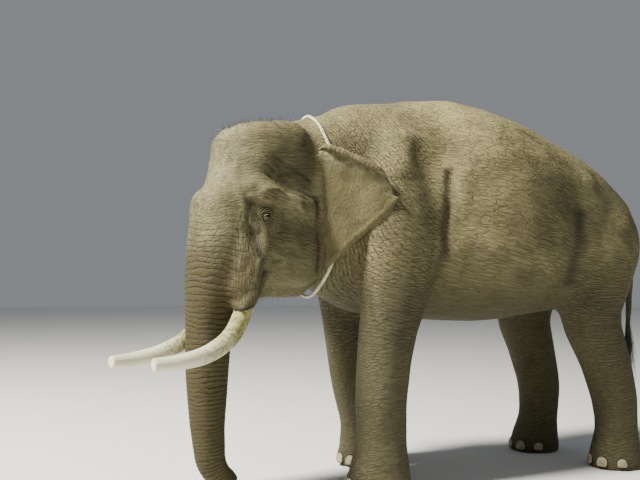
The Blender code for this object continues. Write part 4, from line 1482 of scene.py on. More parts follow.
IRIS = math.radians(31)  # how far the iris and the pupil spread from the middle of the eye
PUPIL = math.radians(12)
CORNEA = 0.0016
EYE_CLEARANCE = 0.0004  # between the eyeball and the skin behind the lids
IRIS_BETWEEN_RAYS, IRIS_RIM = (0.050, 0.022, 0.009), (0.018, 0.010, 0.006)
WHITE_VEINS, WHITE = (0.040, 0.025, 0.018), (0.075, 0.050, 0.036)
PUPIL_BLACK = (0.002, 0.002, 0.002)


def eye_finish(settings):
    made = Finish("wet_eye", 0.10, Coat_Weight=1.0, Coat_Roughness=0.03)
    gaze = made.attribute("gaze")
    rays = made.noise(0.0035, 3.0)
    iris = made.mix(rays.above(0.35, 0.65), IRIS_BETWEEN_RAYS, settings.iris)
    iris = made.mix(gaze.above(IRIS * 0.72, IRIS), iris, IRIS_RIM)
    white = made.mix(rays.above(0.4, 0.7), WHITE_VEINS, WHITE)
    colour = made.mix(gaze.above(IRIS * 0.97, IRIS * 1.06), iris, white)
    colour = made.mix(gaze.below(PUPIL * 0.94, PUPIL * 1.06), colour, PUPIL_BLACK)
    return made.wear(Base_Color=colour)


def make_eyes(settings):
    finish = eye_finish(settings)
    for side in SIDES:
        outward, _, _ = eye_frame(side)
        bm = bmesh.new()
        turn = Vector(outward).to_track_quat("Z", "Y").to_matrix().to_4x4()
        radius = EYE_RADIUS - EYE_CLEARANCE
        bmesh.ops.create_uvsphere(bm, u_segments=40, v_segments=28, radius=radius)
        bmesh.ops.transform(bm, matrix=turn, verts=bm.verts)
        mesh = mesh_of(bm, f"eyeball_{side}")
        co = read(mesh)
        way = co / np.linalg.norm(co, axis=1)[:, None]
        gaze = np.arccos(np.clip(way @ outward, -1.0, 1.0))
        write(mesh, co + way * (CORNEA * bell(gaze, IRIS * 0.8))[:, None] + eye_centre(side))
        keep(mesh, "gaze", gaze)
        hand_over(new_piece(f"eyeball_{side}", mesh, finish), "eye", f"eye_{side}")


# ---------------- tusks

TUSK_RINGS, TUSK_AROUND = 96, 40
TUSK_ROUNDING = 0.010  # how far the sawn tip's edge is worn round
TUSK_SETTLE = 0.985  # the tusk's radius as a share of its axis's
TUSK_END_RIM, TUSK_END_SUNK = 0.012, 0.0012  # how wide the sawn end's rim is, and its middle's depth
IVORY_RELIEF = 0.0016


def tusk_finish(settings):
    made = Finish("ivory", 0.55)
    along = made.attribute("along")
    ways = made.node("ShaderNodeUVMap", {"uv_map": "UVMap"})
    drawn = made.vector("MULTIPLY", ways, (22.0, 2.5, 1.0))
    lengthwise = made.noise(1.0, 3.0, drawn, roughness=0.6)
    cloud = made.noise(0.10, 3.0, roughness=0.6)
    small = made.noise(0.016, 3.0, roughness=0.65)
    blotch = made.noise(0.030, 3.0, roughness=0.6)
    net = made.cells(made.scaled(made.place, 24.0))
    near_root = along.below(0.30, 0.78)
    colour = made.mix(lengthwise.above(0.30, 0.70), settings.cream, settings.bright)
    colour = made.mix(near_root * (0.66 + 0.34 * cloud.above(0.40, 0.60)), colour, settings.aged)
    colour = made.mix(along.below(0.28, 0.58) * small.above(0.50, 0.62) * 0.55, colour, settings.stain)
    colour = made.mix(blotch.above(0.49, 0.57) * along.below(0.42, 0.80) * 0.80, colour, settings.moss)
    crack = (lengthwise - 0.5).size().below(0.003, 0.012) * cloud.above(0.45, 0.60)
    crackle = net.below(0.012, 0.045) * cloud.above(0.34, 0.50) * along.below(0.50, 0.85)
    colour = made.mix(crack * (0.15 + near_root * 0.5), colour, settings.stain)
    colour = made.mix(crackle * 0.75, colour, settings.stain)
    specks = small.above(0.68, 0.73) * 0.5
    colour = made.mix(specks, colour, settings.stain)
    rough = 0.48 + cloud * 0.15 + near_root * 0.15
    height = lengthwise * 0.20 - crack * 0.5 - crackle * 0.7 - specks * 0.3 + small * 0.15
    return made.wear(Base_Color=colour, Roughness=rough, Normal=made.bump(height, IVORY_RELIEF))


def make_tusks(settings):
    """Round horns along the tusks' axes, with sawn tips. Their UV map runs round and along."""
    finish = tusk_finish(settings)
    for side in SIDES:
        rows = tusk_path(side)
        at = lengths(rows[:, :3])
        length = at[-1]
        straight = length - TUSK_ROUNDING
        share = np.linspace(0.0, 1.0, TUSK_RINGS) ** 0.9
        ends = length - TUSK_ROUNDING * np.array((0.5, 0.15, 0.0))
        bm = bmesh.new()
        uv = bm.loops.layers.uv.new("UVMap")
        rings, places = [], {}
        for stop in np.concatenate([share * straight, ends]):
            row = between(rows, at, stop)
            spot, radius = Vector(row[:3]), row[3] * TUSK_SETTLE
            ahead, behind = (
                Vector(between(rows, at, stop + step)[:3]) for step in (TUSK_STEP, -TUSK_STEP)
            )
            way = (ahead - behind).normalized()
            first = way.cross(Vector((0, 1, 0))).normalized()
            second = way.cross(first)
            worn = max(0.0, stop - straight) / TUSK_ROUNDING
            radius -= TUSK_ROUNDING * (1 - math.sqrt(max(0.0, 1 - worn**2))) * 0.8
            ring = []
            for k in range(TUSK_AROUND):
                turn = 2 * math.pi * k / TUSK_AROUND
                out = first * math.cos(turn) + second * math.sin(turn)
                vertex = bm.verts.new(spot + out * radius)
                places[vertex] = (k / TUSK_AROUND, stop / length)
                ring.append(vertex)
            rings.append(ring)
        for following, face in bridged(bm, rings):
            for loop in face.loops:
                u, v = places[loop.vert]
                loop[uv].uv = (1.0 if following == 0 and u == 0.0 else u, v)
        for ring, v in ((rings[0], 0.0), (rings[-1], 1.0)):
            for loop in bm.faces.new(ring).loops:
                loop[uv].uv = (places[loop.vert][0], v)
        bmesh.ops.inset_region(
            bm, faces=bm.faces[-1:], thickness=TUSK_END_RIM, depth=-TUSK_END_SUNK
        )
        bmesh.ops.recalc_face_normals(bm, faces=bm.faces)
        mesh = mesh_of(bm, f"tusk_{side}")
        co = read(mesh)
        path = Path(rows[:, :3])
        along = np.ones(len(co))
        which, _, stop = path.beside(co, 0.2)
        along[which] = stop / path.length
        keep(mesh, "along", along)
        write(mesh, inside_box(moved(co, HEAD_POSE)))
        hand_over(new_piece(f"ivory_{side}", mesh, finish), "ivory", f"tusk_{side}")


# ---------------- toenails

NAIL_RELIEF = 0.0016


def nail_finish(settings):
    made = Finish("toenail", 0.5)
    up = made.attribute("up")
    ridges = made.noise(1.0, 2.0, made.vector("MULTIPLY", made.place, (60.0, 60.0, 420.0)))
    cloud = made.noise(0.035, 4.0, roughness=0.6)
    colour = made.mix(cloud.above(0.35, 0.65), settings.horn, settings.light)
    colour = made.mix(up.below(-0.80, -0.35) * cloud.above(0.3, 0.5) * 0.8, colour, settings.dirt)
    colour = made.mix(up.above(0.70, 0.98) * 0.6, colour, settings.dirt)
    colour = made.mix(ridges.above(0.55, 0.7) * 0.25, colour, settings.dirt)
    normal = made.bump(ridges * 0.5 + cloud * 0.6, NAIL_RELIEF)
    return made.wear(Base_Color=colour, Roughness=0.45 + cloud * 0.3, Normal=normal)


def nail(middle, size, out, across, up):
    """One nail, rounded above and squarer below, and how high up it each of its points lies."""
    bm, lifts = bmesh.new(), []
    thick, wide, high = NAIL_HALF
    bmesh.ops.create_uvsphere(bm, u_segments=32, v_segments=20, radius=1.0)
    for vertex in bm.verts:
        n, a, b = vertex.co
        flat = math.hypot(a, b)
        if b < 0 and flat > 0:
            corner = (abs(a) / flat) ** NAIL_SQUARE + (-b / flat) ** NAIL_SQUARE
            squared = corner ** (-1 / NAIL_SQUARE)
            a, b = a * squared, b * squared * NAIL_DROP
        n = math.copysign(abs(n) ** NAIL_FLATNESS, n)
        wave = 1 - NAIL_WAVE * math.cos(NAIL_WAVES * a)
        spot = out * n * thick * wave + across * a * wide + up * b * high
        curve = -out * (a * wide * size) ** 2 / (2 * FOOT_REACH)
        vertex.co = middle + spot * size + curve
        lifts.append(b)
    return bm, lifts


def make_nails(settings):
    finish = nail_finish(settings)
    for leg, count in NAIL_COUNTS.items():
        for side in SIDES:
            whole, heights = bmesh.new(), []
            for frame_of_nail in nails_of(leg, side):
                bm, lifts = nail(*frame_of_nail)
                add_shell(whole, bm)
                heights += lifts
            bmesh.ops.recalc_face_normals(whole, faces=whole.faces)
            mesh = mesh_of(whole, f"toenails_{leg}_{side}")
            keep(mesh, "up", np.array(heights))
            piece = new_piece(f"toenails_{leg}_{side}", mesh, finish)
            hand_over(piece, "nail", *[f"nail_{leg}_{side}_{k + 1}" for k in range(count)])


# ---------------- node trees


class Maker:
    """A Geometry Nodes tree: named inputs, and short ways to add nodes."""

    def __init__(self, name, **inputs):
        self.tree = bpy.data.node_groups.new(name, "GeometryNodeTree")
        interface = self.tree.interface
        interface.new_socket("Geometry", in_out="INPUT", socket_type="NodeSocketGeometry")
        self.sockets = {}
        for label, kind in inputs.items():
            made = interface.new_socket(label, in_out="INPUT", socket_type="NodeSocket" + kind)
            self.sockets[label] = made.identifier
        interface.new_socket("Geometry", in_out="OUTPUT", socket_type="NodeSocketGeometry")
        self.given = self.tree.nodes.new("NodeGroupInput").outputs
        self.result = self.tree.nodes.new("NodeGroupOutput").inputs[0]

    def whole_node(self, kind, settings=None, **values):
        """Adds a node. Inputs go by name or as _number."""
        made = self.tree.nodes.new(kind)
        for name, value in (settings or {}).items():
            setattr(made, name, value)
        for name, value in values.items():
            by_number = name.startswith("_") and name[1:].isdigit()
            socket = made.inputs[int(name[1:]) if by_number else name.replace("_", " ")]
            if isinstance(value, bpy.types.NodeSocket):
                self.tree.links.new(value, socket)
            else:
                socket.default_value = value
        return made

    def node(self, kind, settings=None, output=0, **values):
        """Adds a node and gives back one of its outputs."""
        return self.whole_node(kind, settings, **values).outputs[output]

    def calc(self, operation, first, second=0.0):
        return self.node("ShaderNodeMath", {"operation": operation}, _0=first, _1=second)

    def vector(self, operation, first, second):
        return self.node("ShaderNodeVectorMath", {"operation": operation}, _0=first, _1=second)

    def scaled(self, vector, by):
        return self.node("ShaderNodeVectorMath", {"operation": "SCALE"}, _0=vector, Scale=by)

    def stored(self, geometry, name, value, kind="FLOAT"):
        """The geometry with a value kept at each of its points."""
        settings = {"data_type": kind, "domain": "POINT"}
        return self.node(
            "GeometryNodeStoreNamedAttribute", settings, Geometry=geometry, Name=name, Value=value
        )

    def random(self, low, high, seed):
        return self.node(
            "FunctionNodeRandomValue", {"data_type": "FLOAT"}, output=1, _2=low, _3=high, Seed=seed
        )

    def finished(self, geometry, material):
        whole = self.node("GeometryNodeRealizeInstances", Geometry=geometry)
        worn = self.node("GeometryNodeSetMaterial", Geometry=whole, Material=material)
        self.tree.links.new(worn, self.result)

    def run(self, source, name, **values):
        """Runs the tree on a copy of an object and gives back what it makes as a plain mesh piece."""
        worker = added(name, source.data.copy())
        step = worker.modifiers.new(name, "NODES")
        step.node_group = self.tree
        for label, value in values.items():
            step[self.sockets[label.replace("_", " ")]] = value
        mesh = evaluated(worker)
        bpy.data.objects.remove(worker)
        mesh.name = name
        return added(name, mesh)


# ---------------- bristles

BRISTLE_TAPER = 0.12  # the width of a bristle's tip as a share of its root's
BRISTLE_SHORTEST = 0.45  # the length of the shortest as a share of the longest's
MAP_EDGE, MAP_SPAN, MAP_PATCH = 0.01, 0.97, 0.003  # in the OFBake map, which is 1 wide and high
BRISTLE_SPIN = 6.283  # how far round its own axis a bristle may be turned, in radians
FIRST_SEED = 5


def crown_share(skin):
    """Where bristles stand on the top of the head."""
    x, y, z = skin.head.T
    top = ramp(z, 2.36, 2.46) * ramp(skin.normal[:, 2], 0.1, 0.5)
    clumps = 0.15 + 0.85 * ramp(skin.rough.at(skin.head, 0.06), -0.35, 0.40)
    return top * clumps * ramp(x, -0.84, -0.95) * (0.35 + 0.65 * bell(np.abs(y), 0.16))


def chin_share(skin):
    """Where bristles hang below the lower lip."""
    x, y, z = skin.head.T
    below = ramp(skin.normal[:, 2], 0.1, -0.4) * ramp(z, 1.42, 1.34) * ramp(z, 1.10, 1.16)
    return below * ramp(x, -1.02, -1.12) * ramp(np.abs(y), 0.18, 0.10) * ramp(x, -1.42, -1.38)


def tuft_share(skin):
    """The front and back edges of the tail's end, where its wires grow."""
    x, _, z = skin.body.T
    edges = 0.25 + 0.75 * ramp(np.abs(skin.normal[:, 0]), 0.45, 0.80)
    return ramp(z, 1.12, 0.98) * (x > 1.95) * edges


def bristle_maker():
    """Bent three-sided bristles, scattered where an attribute of the skin says."""
    tree = Maker(
        "bristles",
        Density="Float",
        Length="Float",
        Thickness="Float",
        Bend="Float",
        Spread="Float",
        Lie="Vector",
        Where="String",
        Seed="Int",
        Finish="Material",
    )
    given = tree.given
    where = tree.node("GeometryNodeInputNamedAttribute", {"data_type": "FLOAT"}, Name=given["Where"])
    scattered = tree.whole_node(
        "GeometryNodeDistributePointsOnFaces",
        Mesh=given["Geometry"],
        Density=tree.calc("MULTIPLY", where, given["Density"]),
        Seed=given["Seed"],
    ).outputs
    place = tree.node("GeometryNodeInputPosition")
    points = tree.stored(scattered["Points"], "root", place, "FLOAT_VECTOR")
    cone = tree.node(
        "GeometryNodeMeshCone",
        {"fill_type": "NGON"},
        Vertices=3,
        Side_Segments=5,
        Fill_Segments=1,
        Radius_Top=BRISTLE_TAPER,
        Radius_Bottom=1.0,
        Depth=1.0,
    )
    height = tree.node("ShaderNodeSeparateXYZ", output=2, _0=place)
    bow = tree.calc("MULTIPLY", tree.calc("MULTIPLY", height, height), given["Bend"])
    shifted = tree.node("ShaderNodeCombineXYZ", X=bow)
    bent = tree.node("GeometryNodeSetPosition", Geometry=cone, Offset=shifted)
    bent = tree.stored(bent, "grow", height)
    loose = tree.node(
        "FunctionNodeRandomValue",
        {"data_type": "FLOAT_VECTOR"},
        _0=(-1, -1, -1),
        _1=(1, 1, 1),
        Seed=given["Seed"],
    )
    way = tree.vector("ADD", scattered["Normal"], given["Lie"])
    way = tree.vector("ADD", way, tree.scaled(loose, given["Spread"]))
    stand = tree.node("FunctionNodeAlignRotationToVector", {"axis": "Z"}, Vector=way)
    about = tree.random(0.0, BRISTLE_SPIN, 7)
    spin = tree.node("FunctionNodeAxisAngleToRotation", Axis=(0, 0, 1), Angle=about)
    stand = tree.node("FunctionNodeRotateRotation", {"rotation_space": "LOCAL"}, _0=stand, _1=spin)
    long = tree.calc("MULTIPLY", tree.random(BRISTLE_SHORTEST, 1.0, 3), given["Length"])
    size = tree.node("ShaderNodeCombineXYZ", X=given["Thickness"], Y=given["Thickness"], Z=long)
    grown = tree.node(
        "GeometryNodeInstanceOnPoints", Points=points, Instance=bent, Rotation=stand, Scale=size
    )
    tree.finished(grown, given["Finish"])
    return tree


def hair_finish(settings):
    made = Finish("bristle", 0.45)
    strand = made.noise(0.004, 1.0)
    colour = made.mix(strand.above(0.3, 0.7), settings.dark, settings.light)
    return made.wear(Base_Color=colour, Roughness=0.38 + strand * 0.2)


def unwrap_roots(mesh, unwrap):
    """Gives each bristle a small patch of the OFBake map at its root's place on the skin's unwrap."""
    root = listed(mesh.attributes["root"].data, "vector", np.float32, 3).astype(float)
    height = kept(mesh, "grow")
    flat = unwrap(root)
    layer = mesh.uv_layers.new(name="OFBake")
    corners = listed(mesh.loops, "vertex_index")
    low, high = flat.min(0), flat.max(0)
    spots = MAP_EDGE + MAP_SPAN * (flat - low) / (high - low).clip(1e-6)
    patch = np.stack([(corners % 3) / 2.0, height[corners]], axis=1)
    spots = spots[corners] + MAP_PATCH * patch
    layer.data.foreach_set("uv", spots.astype(np.float32).ravel())
    mesh.attributes.remove(mesh.attributes["root"])


def from_above(root):
    return root[:, :2]


def round_the_tail(root):
    middle = root.mean(0)
    turn = np.arctan2(root[:, 1] - middle[1], root[:, 0] - middle[0])
    return np.stack([turn, root[:, 2]], axis=1)


BRISTLES = {  # where they grow: the nodes they replace, how they lie, and their unwrap
    "crown": ((), (0.15, 0.0, 0.4), from_above),
    "chin": ((), (-0.2, 0.0, -0.6), from_above),
    "tuft": (("tail_tuft",), (0.0, 0.0, -7.0), round_the_tail),
}


def make_bristles(settings):
    finish = hair_finish(settings)
    tree = bristle_maker()
    skin = bpy.data.objects["skin"]
    for seed, (name, (replaced, lie, unwrap)) in enumerate(BRISTLES.items(), FIRST_SEED):
        group = getattr(settings, name)
        piece = tree.run(
            skin,
            f"bristles_{name}",
            Density=group.density,
            Length=group.length,
            Thickness=group.thickness,
            Bend=group.bend,
            Spread=group.spread,
            Lie=lie,
            Where=name,
            Seed=seed,
            Finish=finish,
        )
        unwrap_roots(piece.data, unwrap)
        write(piece.data, inside_box(read(piece.data)))
        hand_over(piece, "hair", *replaced)


# ---------------- rope

ROPE_MIDDLE = Vector((-0.785, 0.0, 1.93)) + PLACE
ROPE_BACKWARD = 0.14  # how far its sides lie behind its top and bottom
ROPE_SLACK = 0.07  # how far its lowest point hangs clear of the throat
ROPE_POINTS = 72
ROPE_SMOOTHINGS, ROPE_PUSHES = 5, 6
ROPE_CLEARANCE = 1.02  # how far off the skin its middle stays, in rope radii
STRANDS, STRAND_RADIUS, STRAND_REACH = 3, 0.56, 0.50  # the last two in rope radii
STEPS_IN_A_TURN = 12
ROPE_RELIEF = 0.0009


def rope_finish(settings):
    made = Finish("cotton_rope", 0.9)
    along, strand = made.attribute("along"), made.attribute("strand")
    drawn = made.combined(along * 60.0, strand * 9.0, along * 9.0)
    fibres = made.noise(1.0, 3.0, drawn, roughness=0.6)
    worn = made.noise(0.05, 3.0)
    colour = made.mix(fibres.above(0.3, 0.7), settings.shade, settings.cotton)
    colour = made.mix(worn.above(0.52, 0.68) * 0.5, colour, settings.soiled)
    normal = made.bump(fibres + made.noise(0.0016, 2.0) * 0.7, ROPE_RELIEF)
    return made.wear(Base_Color=colour, Roughness=0.82 + fibres * 0.15, Normal=normal)


def rope_route(skin, radius):
    """A closed loop that lies on the skin of the neck and hangs below the throat."""
    tree = BVHTree.FromPolygons(
        [vertex.co for vertex in skin.data.vertices],
        [face.vertices[:] for face in skin.data.polygons],
    )
    points = []
    for k in range(ROPE_POINTS):
        angle = 2 * math.pi * k / ROPE_POINTS
        start = ROPE_MIDDLE + Vector((ROPE_BACKWARD * math.sin(angle) ** 2, 0, 0))
        outward = Vector((0, math.sin(angle), math.cos(angle)))
        surface, *_ = tree.ray_cast(start, outward)
        if surface is None:
            raise RuntimeError("the neck's skin wasn't found under the rope")
        sag = ROPE_SLACK * max(0.0, -math.cos(angle)) ** 2
        points.append(surface + outward * (radius + sag))
    for _ in range(ROPE_SMOOTHINGS):
        points = [
            (points[k - 1] + points[k] * 2 + points[(k + 1) % ROPE_POINTS]) / 4
            for k in range(ROPE_POINTS)
        ]
    for _ in range(ROPE_PUSHES):
        points = [pushed_clear(point, tree, radius * ROPE_CLEARANCE) for point in points]
    return points


def pushed_clear(point, tree, distance):
    """Moves a point out until it is that far from the skin."""
    surface, normal, _, away = tree.find_nearest(point)
    inside = (point - surface).dot(normal) < 0
    short = distance + away if inside else distance - away
    return point + normal * max(0.0, short)


def rope_maker():
    """Strands twisted round a closed line."""
    tree = Maker("twisted_rope", Radius="Float", Turns="Float", Step="Float", Finish="Material")
    given = tree.given
    even = tree.node(
        "GeometryNodeResampleCurve", {"mode": "LENGTH"}, Curve=given["Geometry"], Length=given["Step"]
    )
    stop = tree.whole_node("GeometryNodeSplineParameter").outputs
    normal = tree.node("GeometryNodeInputNormal")
    tangent = tree.node("GeometryNodeInputTangent")
    side = tree.vector("CROSS_PRODUCT", tangent, normal)
    ring = tree.node(
        "GeometryNodeCurvePrimitiveCircle",
        {"mode": "RADIUS"},
        Resolution=9,
        Radius=tree.calc("MULTIPLY", given["Radius"], STRAND_RADIUS),
    )
    join = tree.whole_node("GeometryNodeJoinGeometry")
    for k in range(STRANDS):
        turn = tree.calc("MULTIPLY", stop["Factor"], given["Turns"])
        turn = tree.calc("MULTIPLY", turn, 2 * math.pi)
        turn = tree.calc("ADD", turn, 2 * math.pi * k / STRANDS)
        reach = tree.calc("MULTIPLY", given["Radius"], STRAND_REACH)
        first = tree.scaled(normal, tree.calc("MULTIPLY", tree.calc("COSINE", turn), reach))
        second = tree.scaled(side, tree.calc("MULTIPLY", tree.calc("SINE", turn), reach))
        marked = tree.stored(even, "along", stop["Length"])
        marked = tree.stored(marked, "strand", float(k))
        moved_off = tree.node(
            "GeometryNodeSetPosition", Geometry=marked, Offset=tree.vector("ADD", first, second)
        )
        tube = tree.node("GeometryNodeCurveToMesh", Curve=moved_off, Profile_Curve=ring)
        tree.tree.links.new(tube, join.inputs[0])
    smooth = tree.node("GeometryNodeSetShadeSmooth", Geometry=join.outputs[0])
    tree.finished(smooth, given["Finish"])
    return tree


def make_rope(settings):
    points = rope_route(bpy.data.objects["skin"], settings.radius)
    curve = bpy.data.curves.new("rope_route", "CURVE")
    curve.dimensions = "3D"
    line = curve.splines.new("POLY")
    fine = closed_curve([tuple(point) for point in points], 4)
    line.points.add(len(fine) - 1)
    for spot, point in zip(line.points, fine):
        spot.co = (*point, 1.0)
    line.use_cyclic_u = True
    route = added("rope_route", curve)
    length = lengths(np.vstack([fine, fine[:1]]))[-1]
    piece = rope_maker().run(
        route,
        "rope",
        Radius=settings.radius,
        Turns=float(round(length / settings.lay)),
        Step=settings.lay / STEPS_IN_A_TURN,
        Finish=rope_finish(settings),
    )
    bpy.data.objects.remove(route)
    hand_over(piece, "rope", "neck_rope")


# ---------------- the stage

CAMERA_TURN = math.radians(-22.0)  # seen from the animal's left and a little from the front
CAMERA_PITCH = math.radians(2.4476)  # upward
CAMERA_LENS, CAMERA_SENSOR = 50.0, 36.0  # in millimetres
CAMERA_SPOT = Vector((-3.050, -5.917, 1.44))
KEY_SPOT, KEY_AIM, KEY_SIZE = Vector((-9.2, -0.9, 11.4)), Vector((0, 0, 1.5)), 3.0
KEY_COLOUR = (1.0, 0.96, 0.86)
SKY_COLOUR = (0.80, 0.85, 0.90)
FLOOR_RADIUS = 40.0


def aimed(name, data, spot, forward):
    """A camera or a light at a spot, looking forward."""
    made = added(name, data)
    made.location = spot
    made.rotation_mode = "QUATERNION"
    made.rotation_quaternion = forward.to_track_quat("-Z", "Y")
    return made


def set_camera():
    camera = bpy.data.cameras.new("camera")
    camera.lens = CAMERA_LENS
    camera.sensor_width = CAMERA_SENSOR
    level = Vector((-math.sin(CAMERA_TURN), math.cos(CAMERA_TURN), 0))
    forward = level * math.cos(CAMERA_PITCH) + Vector((0, 0, math.sin(CAMERA_PITCH)))
    bpy.context.scene.camera = aimed("camera", camera, CAMERA_SPOT, forward)


def set_key_light(power):
    light = bpy.data.lights.new("key", "AREA")
    light.shape = "DISK"
    light.size = KEY_SIZE
    light.energy = power
    light.color = KEY_COLOUR
    aimed("key", light, KEY_SPOT, KEY_AIM - KEY_SPOT)


def set_stage(settings):
    """A pale floor, an even sky, one large soft light and the camera."""
    bm = bmesh.new()
    bmesh.ops.create_circle(bm, cap_ends=True, segments=64, radius=FLOOR_RADIUS)
    floor_finish = Finish("floor", 0.9, Base_Color=(*settings.floor, 1))
    floor = new_piece("floor", mesh_of(bm, "floor"), floor_finish.material)
    floor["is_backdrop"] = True
    world = bpy.data.worlds.new("studio")
    bpy.context.scene.world = world
    world.use_nodes = True
    light = world.node_tree.nodes["Background"].inputs
    light["Color"].default_value = (*SKY_COLOUR, 1)
    light["Strength"].default_value = settings.sky
    set_key_light(settings.key)
    set_camera()


# ---------------- settings, operators and panel


def tint(name, about, value):
    return bpy.props.FloatVectorProperty(
        name=name, description=about, default=value, size=3, min=0.0, max=1.0, subtype="COLOR"
    )


def metres(name, about, value):
    return bpy.props.FloatProperty(
        name=name, description=about, default=value, min=0.0, unit="LENGTH"
    )


def number(name, about, value):
    return bpy.props.FloatProperty(name=name, description=about, default=value, min=0.0)


class ElephantSkin(bpy.types.PropertyGroup):
    dark: tint("Dark grey", "The skin's darker patches", (0.105, 0.092, 0.041))
    light: tint("Light grey", "The skin's lighter patches", (0.168, 0.150, 0.069))
    trunk: tint("Trunk", "The brown of the trunk", (0.092, 0.070, 0.018))
    ear: tint("Ear", "The paler, yellower ears", (0.160, 0.138, 0.056))
    dust: tint("Dust", "Dry earth on the back and on the tops of the wrinkles", (0.35, 0.30, 0.135))
    # also the colour of the painted highlights on the cheek bone and above the mouth
    pale: tint("Pale skin", "Patches with little pigment on the forehead", (0.30, 0.275, 0.150))
    # the colour of the painted shade, partly dirt, in the folds and cracks; the dark flecks use it too
    crease: tint("Crease", "Deep in the folds and cracks", (0.020, 0.017, 0.012))
    relief: metres("Relief", "How deep the fine wrinkles are", 0.0085)


class ElephantEyes(bpy.types.PropertyGroup):
    iris: tint("Iris", "The colour of the iris", (0.150, 0.070, 0.024))


class ElephantTusks(bpy.types.PropertyGroup):
    bright: tint("Bright ivory", "Clean ivory", (0.62, 0.60, 0.47))
    cream: tint("Cream ivory", "Ivory between the bright streaks", (0.50, 0.47, 0.32))
    aged: tint("Aged ivory", "Yellowed ivory near the sheath", (0.270, 0.260, 0.080))
    moss: tint("Sap stain", "Yellow-green patches near the sheath", (0.135, 0.130, 0.012))
    stain: tint("Stain", "Stains and cracks", (0.100, 0.075, 0.025))


class ElephantNails(bpy.types.PropertyGroup):
    horn: tint("Horn", "The nails' darker patches", (0.22, 0.18, 0.11))
    light: tint("Light horn", "The nails' lighter patches", (0.37, 0.32, 0.21))
    dirt: tint("Dirt", "Dried mud on the nails", (0.075, 0.060, 0.040))


class ElephantRope(bpy.types.PropertyGroup):
    radius: metres("Radius", "Half the rope's thickness", 0.0115)
    lay: metres("Lay", "How far the rope runs in one turn of its strands", 0.055)
    cotton: tint("Cotton", "Clean cotton", (0.70, 0.66, 0.52))
    shade: tint("Shaded cotton", "Cotton between the fibres", (0.42, 0.38, 0.28))
    soiled: tint("Soiled cotton", "Dirt worn into the rope", (0.24, 0.20, 0.13))


class BristleGroup(bpy.types.PropertyGroup):
    density: number("Density", "Bristles in a square metre", 1000.0)
    length: metres("Length", "The longest bristle", 0.05)
    thickness: metres("Thickness", "Half a bristle's thickness at its root", 0.001)
    bend: number("Bend", "How far a bristle bends, in half thicknesses", 6.0)
    spread: number("Spread", "How far they stand apart in direction", 0.4)


class ElephantBristles(bpy.types.PropertyGroup):
    dark: tint("Dark hair", "The darker hairs", (0.012, 0.010, 0.008))
    light: tint("Light hair", "The lighter hairs", (0.050, 0.040, 0.028))
    crown: bpy.props.PointerProperty(type=BristleGroup, name="Crown", description="On the head")
    chin: bpy.props.PointerProperty(type=BristleGroup, name="Chin", description="Under the lip")
    tuft: bpy.props.PointerProperty(type=BristleGroup, name="Tuft", description="On the tail")


class ElephantStage(bpy.types.PropertyGroup):
    floor: tint("Floor", "The plain floor", (0.72, 0.72, 0.70))
    sky: number("Sky", "The strength of the light from all round", 0.29)
    key: number("Key light", "The power of the main soft light", 7400.0)


BRISTLE_SIZES = {  # density, length, thickness, bend and spread
    "crown": (3200.0, 0.055, 0.0008, 12.0, 0.75),
    "chin": (900.0, 0.060, 0.0008, 10.0, 0.5),
    "tuft": (15000.0, 0.42, 0.0014, 14.0, 0.45),
}


class Piece:
    """What every operator here shares."""

    bl_options = {"REGISTER", "UNDO"}
    settings, make = "", None

    def execute(self, context):
        type(self).make(getattr(context.scene, self.settings))
        return {"FINISHED"}


class MakeSkin(Piece, bpy.types.Operator):
    """Make the elephant's skin, with its ears, lids, folds and wrinkles"""

    bl_idname = "elephant.skin"
    bl_label = "Skin"
    settings, make = "elephant_skin", make_skin


class MakeEyes(Piece, bpy.types.Operator):
    """Make both eyeballs"""

    bl_idname = "elephant.eyes"
    bl_label = "Eyes"
    settings, make = "elephant_eyes", make_eyes


class MakeTusks(Piece, bpy.types.Operator):
    """Make both tusks, with their sawn tips"""

    bl_idname = "elephant.tusks"
    bl_label = "Tusks"
    settings, make = "elephant_tusks", make_tusks


class MakeNails(Piece, bpy.types.Operator):
    """Make the toenails of all four feet"""

    bl_idname = "elephant.nails"
    bl_label = "Toenails"
    settings, make = "elephant_nails", make_nails


class MakeRope(Piece, bpy.types.Operator):
    """Lay the twisted rope round the neck. It needs the skin"""

    bl_idname = "elephant.rope"
    bl_label = "Rope"
    settings, make = "elephant_rope", make_rope


class MakeBristles(Piece, bpy.types.Operator):
    """Grow bristles on the crown and the chin, and the tail's tuft. It needs the skin"""

    bl_idname = "elephant.bristles"
    bl_label = "Bristles"
    settings, make = "elephant_bristles", make_bristles


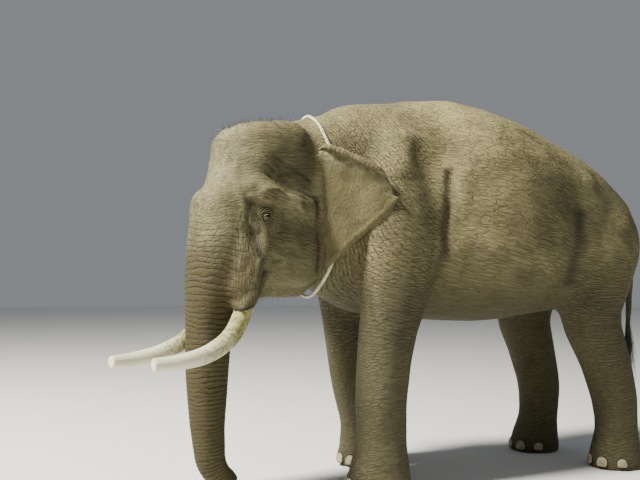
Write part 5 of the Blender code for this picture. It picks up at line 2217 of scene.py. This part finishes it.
class SetStage(Piece, bpy.types.Operator):
    """Set the floor, the lights and the camera"""

    bl_idname = "elephant.stage"
    bl_label = "Stage"
    settings, make = "elephant_stage", set_stage


PIECES = (MakeSkin, MakeEyes, MakeTusks, MakeNails, MakeRope, MakeBristles, SetStage)
SETTINGS = {
    "elephant_skin": ElephantSkin,
    "elephant_eyes": ElephantEyes,
    "elephant_tusks": ElephantTusks,
    "elephant_nails": ElephantNails,
    "elephant_rope": ElephantRope,
    "elephant_bristles": ElephantBristles,
    "elephant_stage": ElephantStage,
}


def list_settings(box, group):
    """Shows a group's settings, and those of the groups inside it under their names."""
    for name, setting in group.bl_rna.properties.items():
        if name in ("rna_type", "name"):
            continue
        if setting.type == "POINTER":
            box.label(text=setting.name)
            list_settings(box, getattr(group, name))
        else:
            box.prop(group, name)


class ElephantPanel(bpy.types.Panel):
    """Lists the pieces of the elephant with their settings"""

    bl_idname = "VIEW3D_PT_elephant"
    bl_label = "Elephant"
    bl_space_type = "VIEW_3D"
    bl_region_type = "UI"
    bl_category = "Elephant"

    def draw(self, context):
        for piece in PIECES:
            box = self.layout.box()
            box.operator(piece.bl_idname)
            list_settings(box, getattr(context.scene, piece.settings))


CLASSES = (BristleGroup, *SETTINGS.values(), *PIECES, ElephantPanel)


def register():
    for item in CLASSES:
        bpy.utils.register_class(item)
    for name, group in SETTINGS.items():
        setattr(bpy.types.Scene, name, bpy.props.PointerProperty(type=group))


def unregister():
    for name in SETTINGS:
        delattr(bpy.types.Scene, name)
    for item in reversed(CLASSES):
        bpy.utils.unregister_class(item)


def main():
    register()
    for name, sizes in BRISTLE_SIZES.items():
        group = getattr(bpy.context.scene.elephant_bristles, name)
        group.density, group.length, group.thickness, group.bend, group.spread = sizes
    for piece in PIECES:
        area, action = piece.bl_idname.split(".")
        getattr(getattr(bpy.ops, area), action)()
    sizes = {"cad": [list(corner) for corner in CAD_BOX], "visual": [list(corner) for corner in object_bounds()]}


if __name__ == "__main__":
    main()
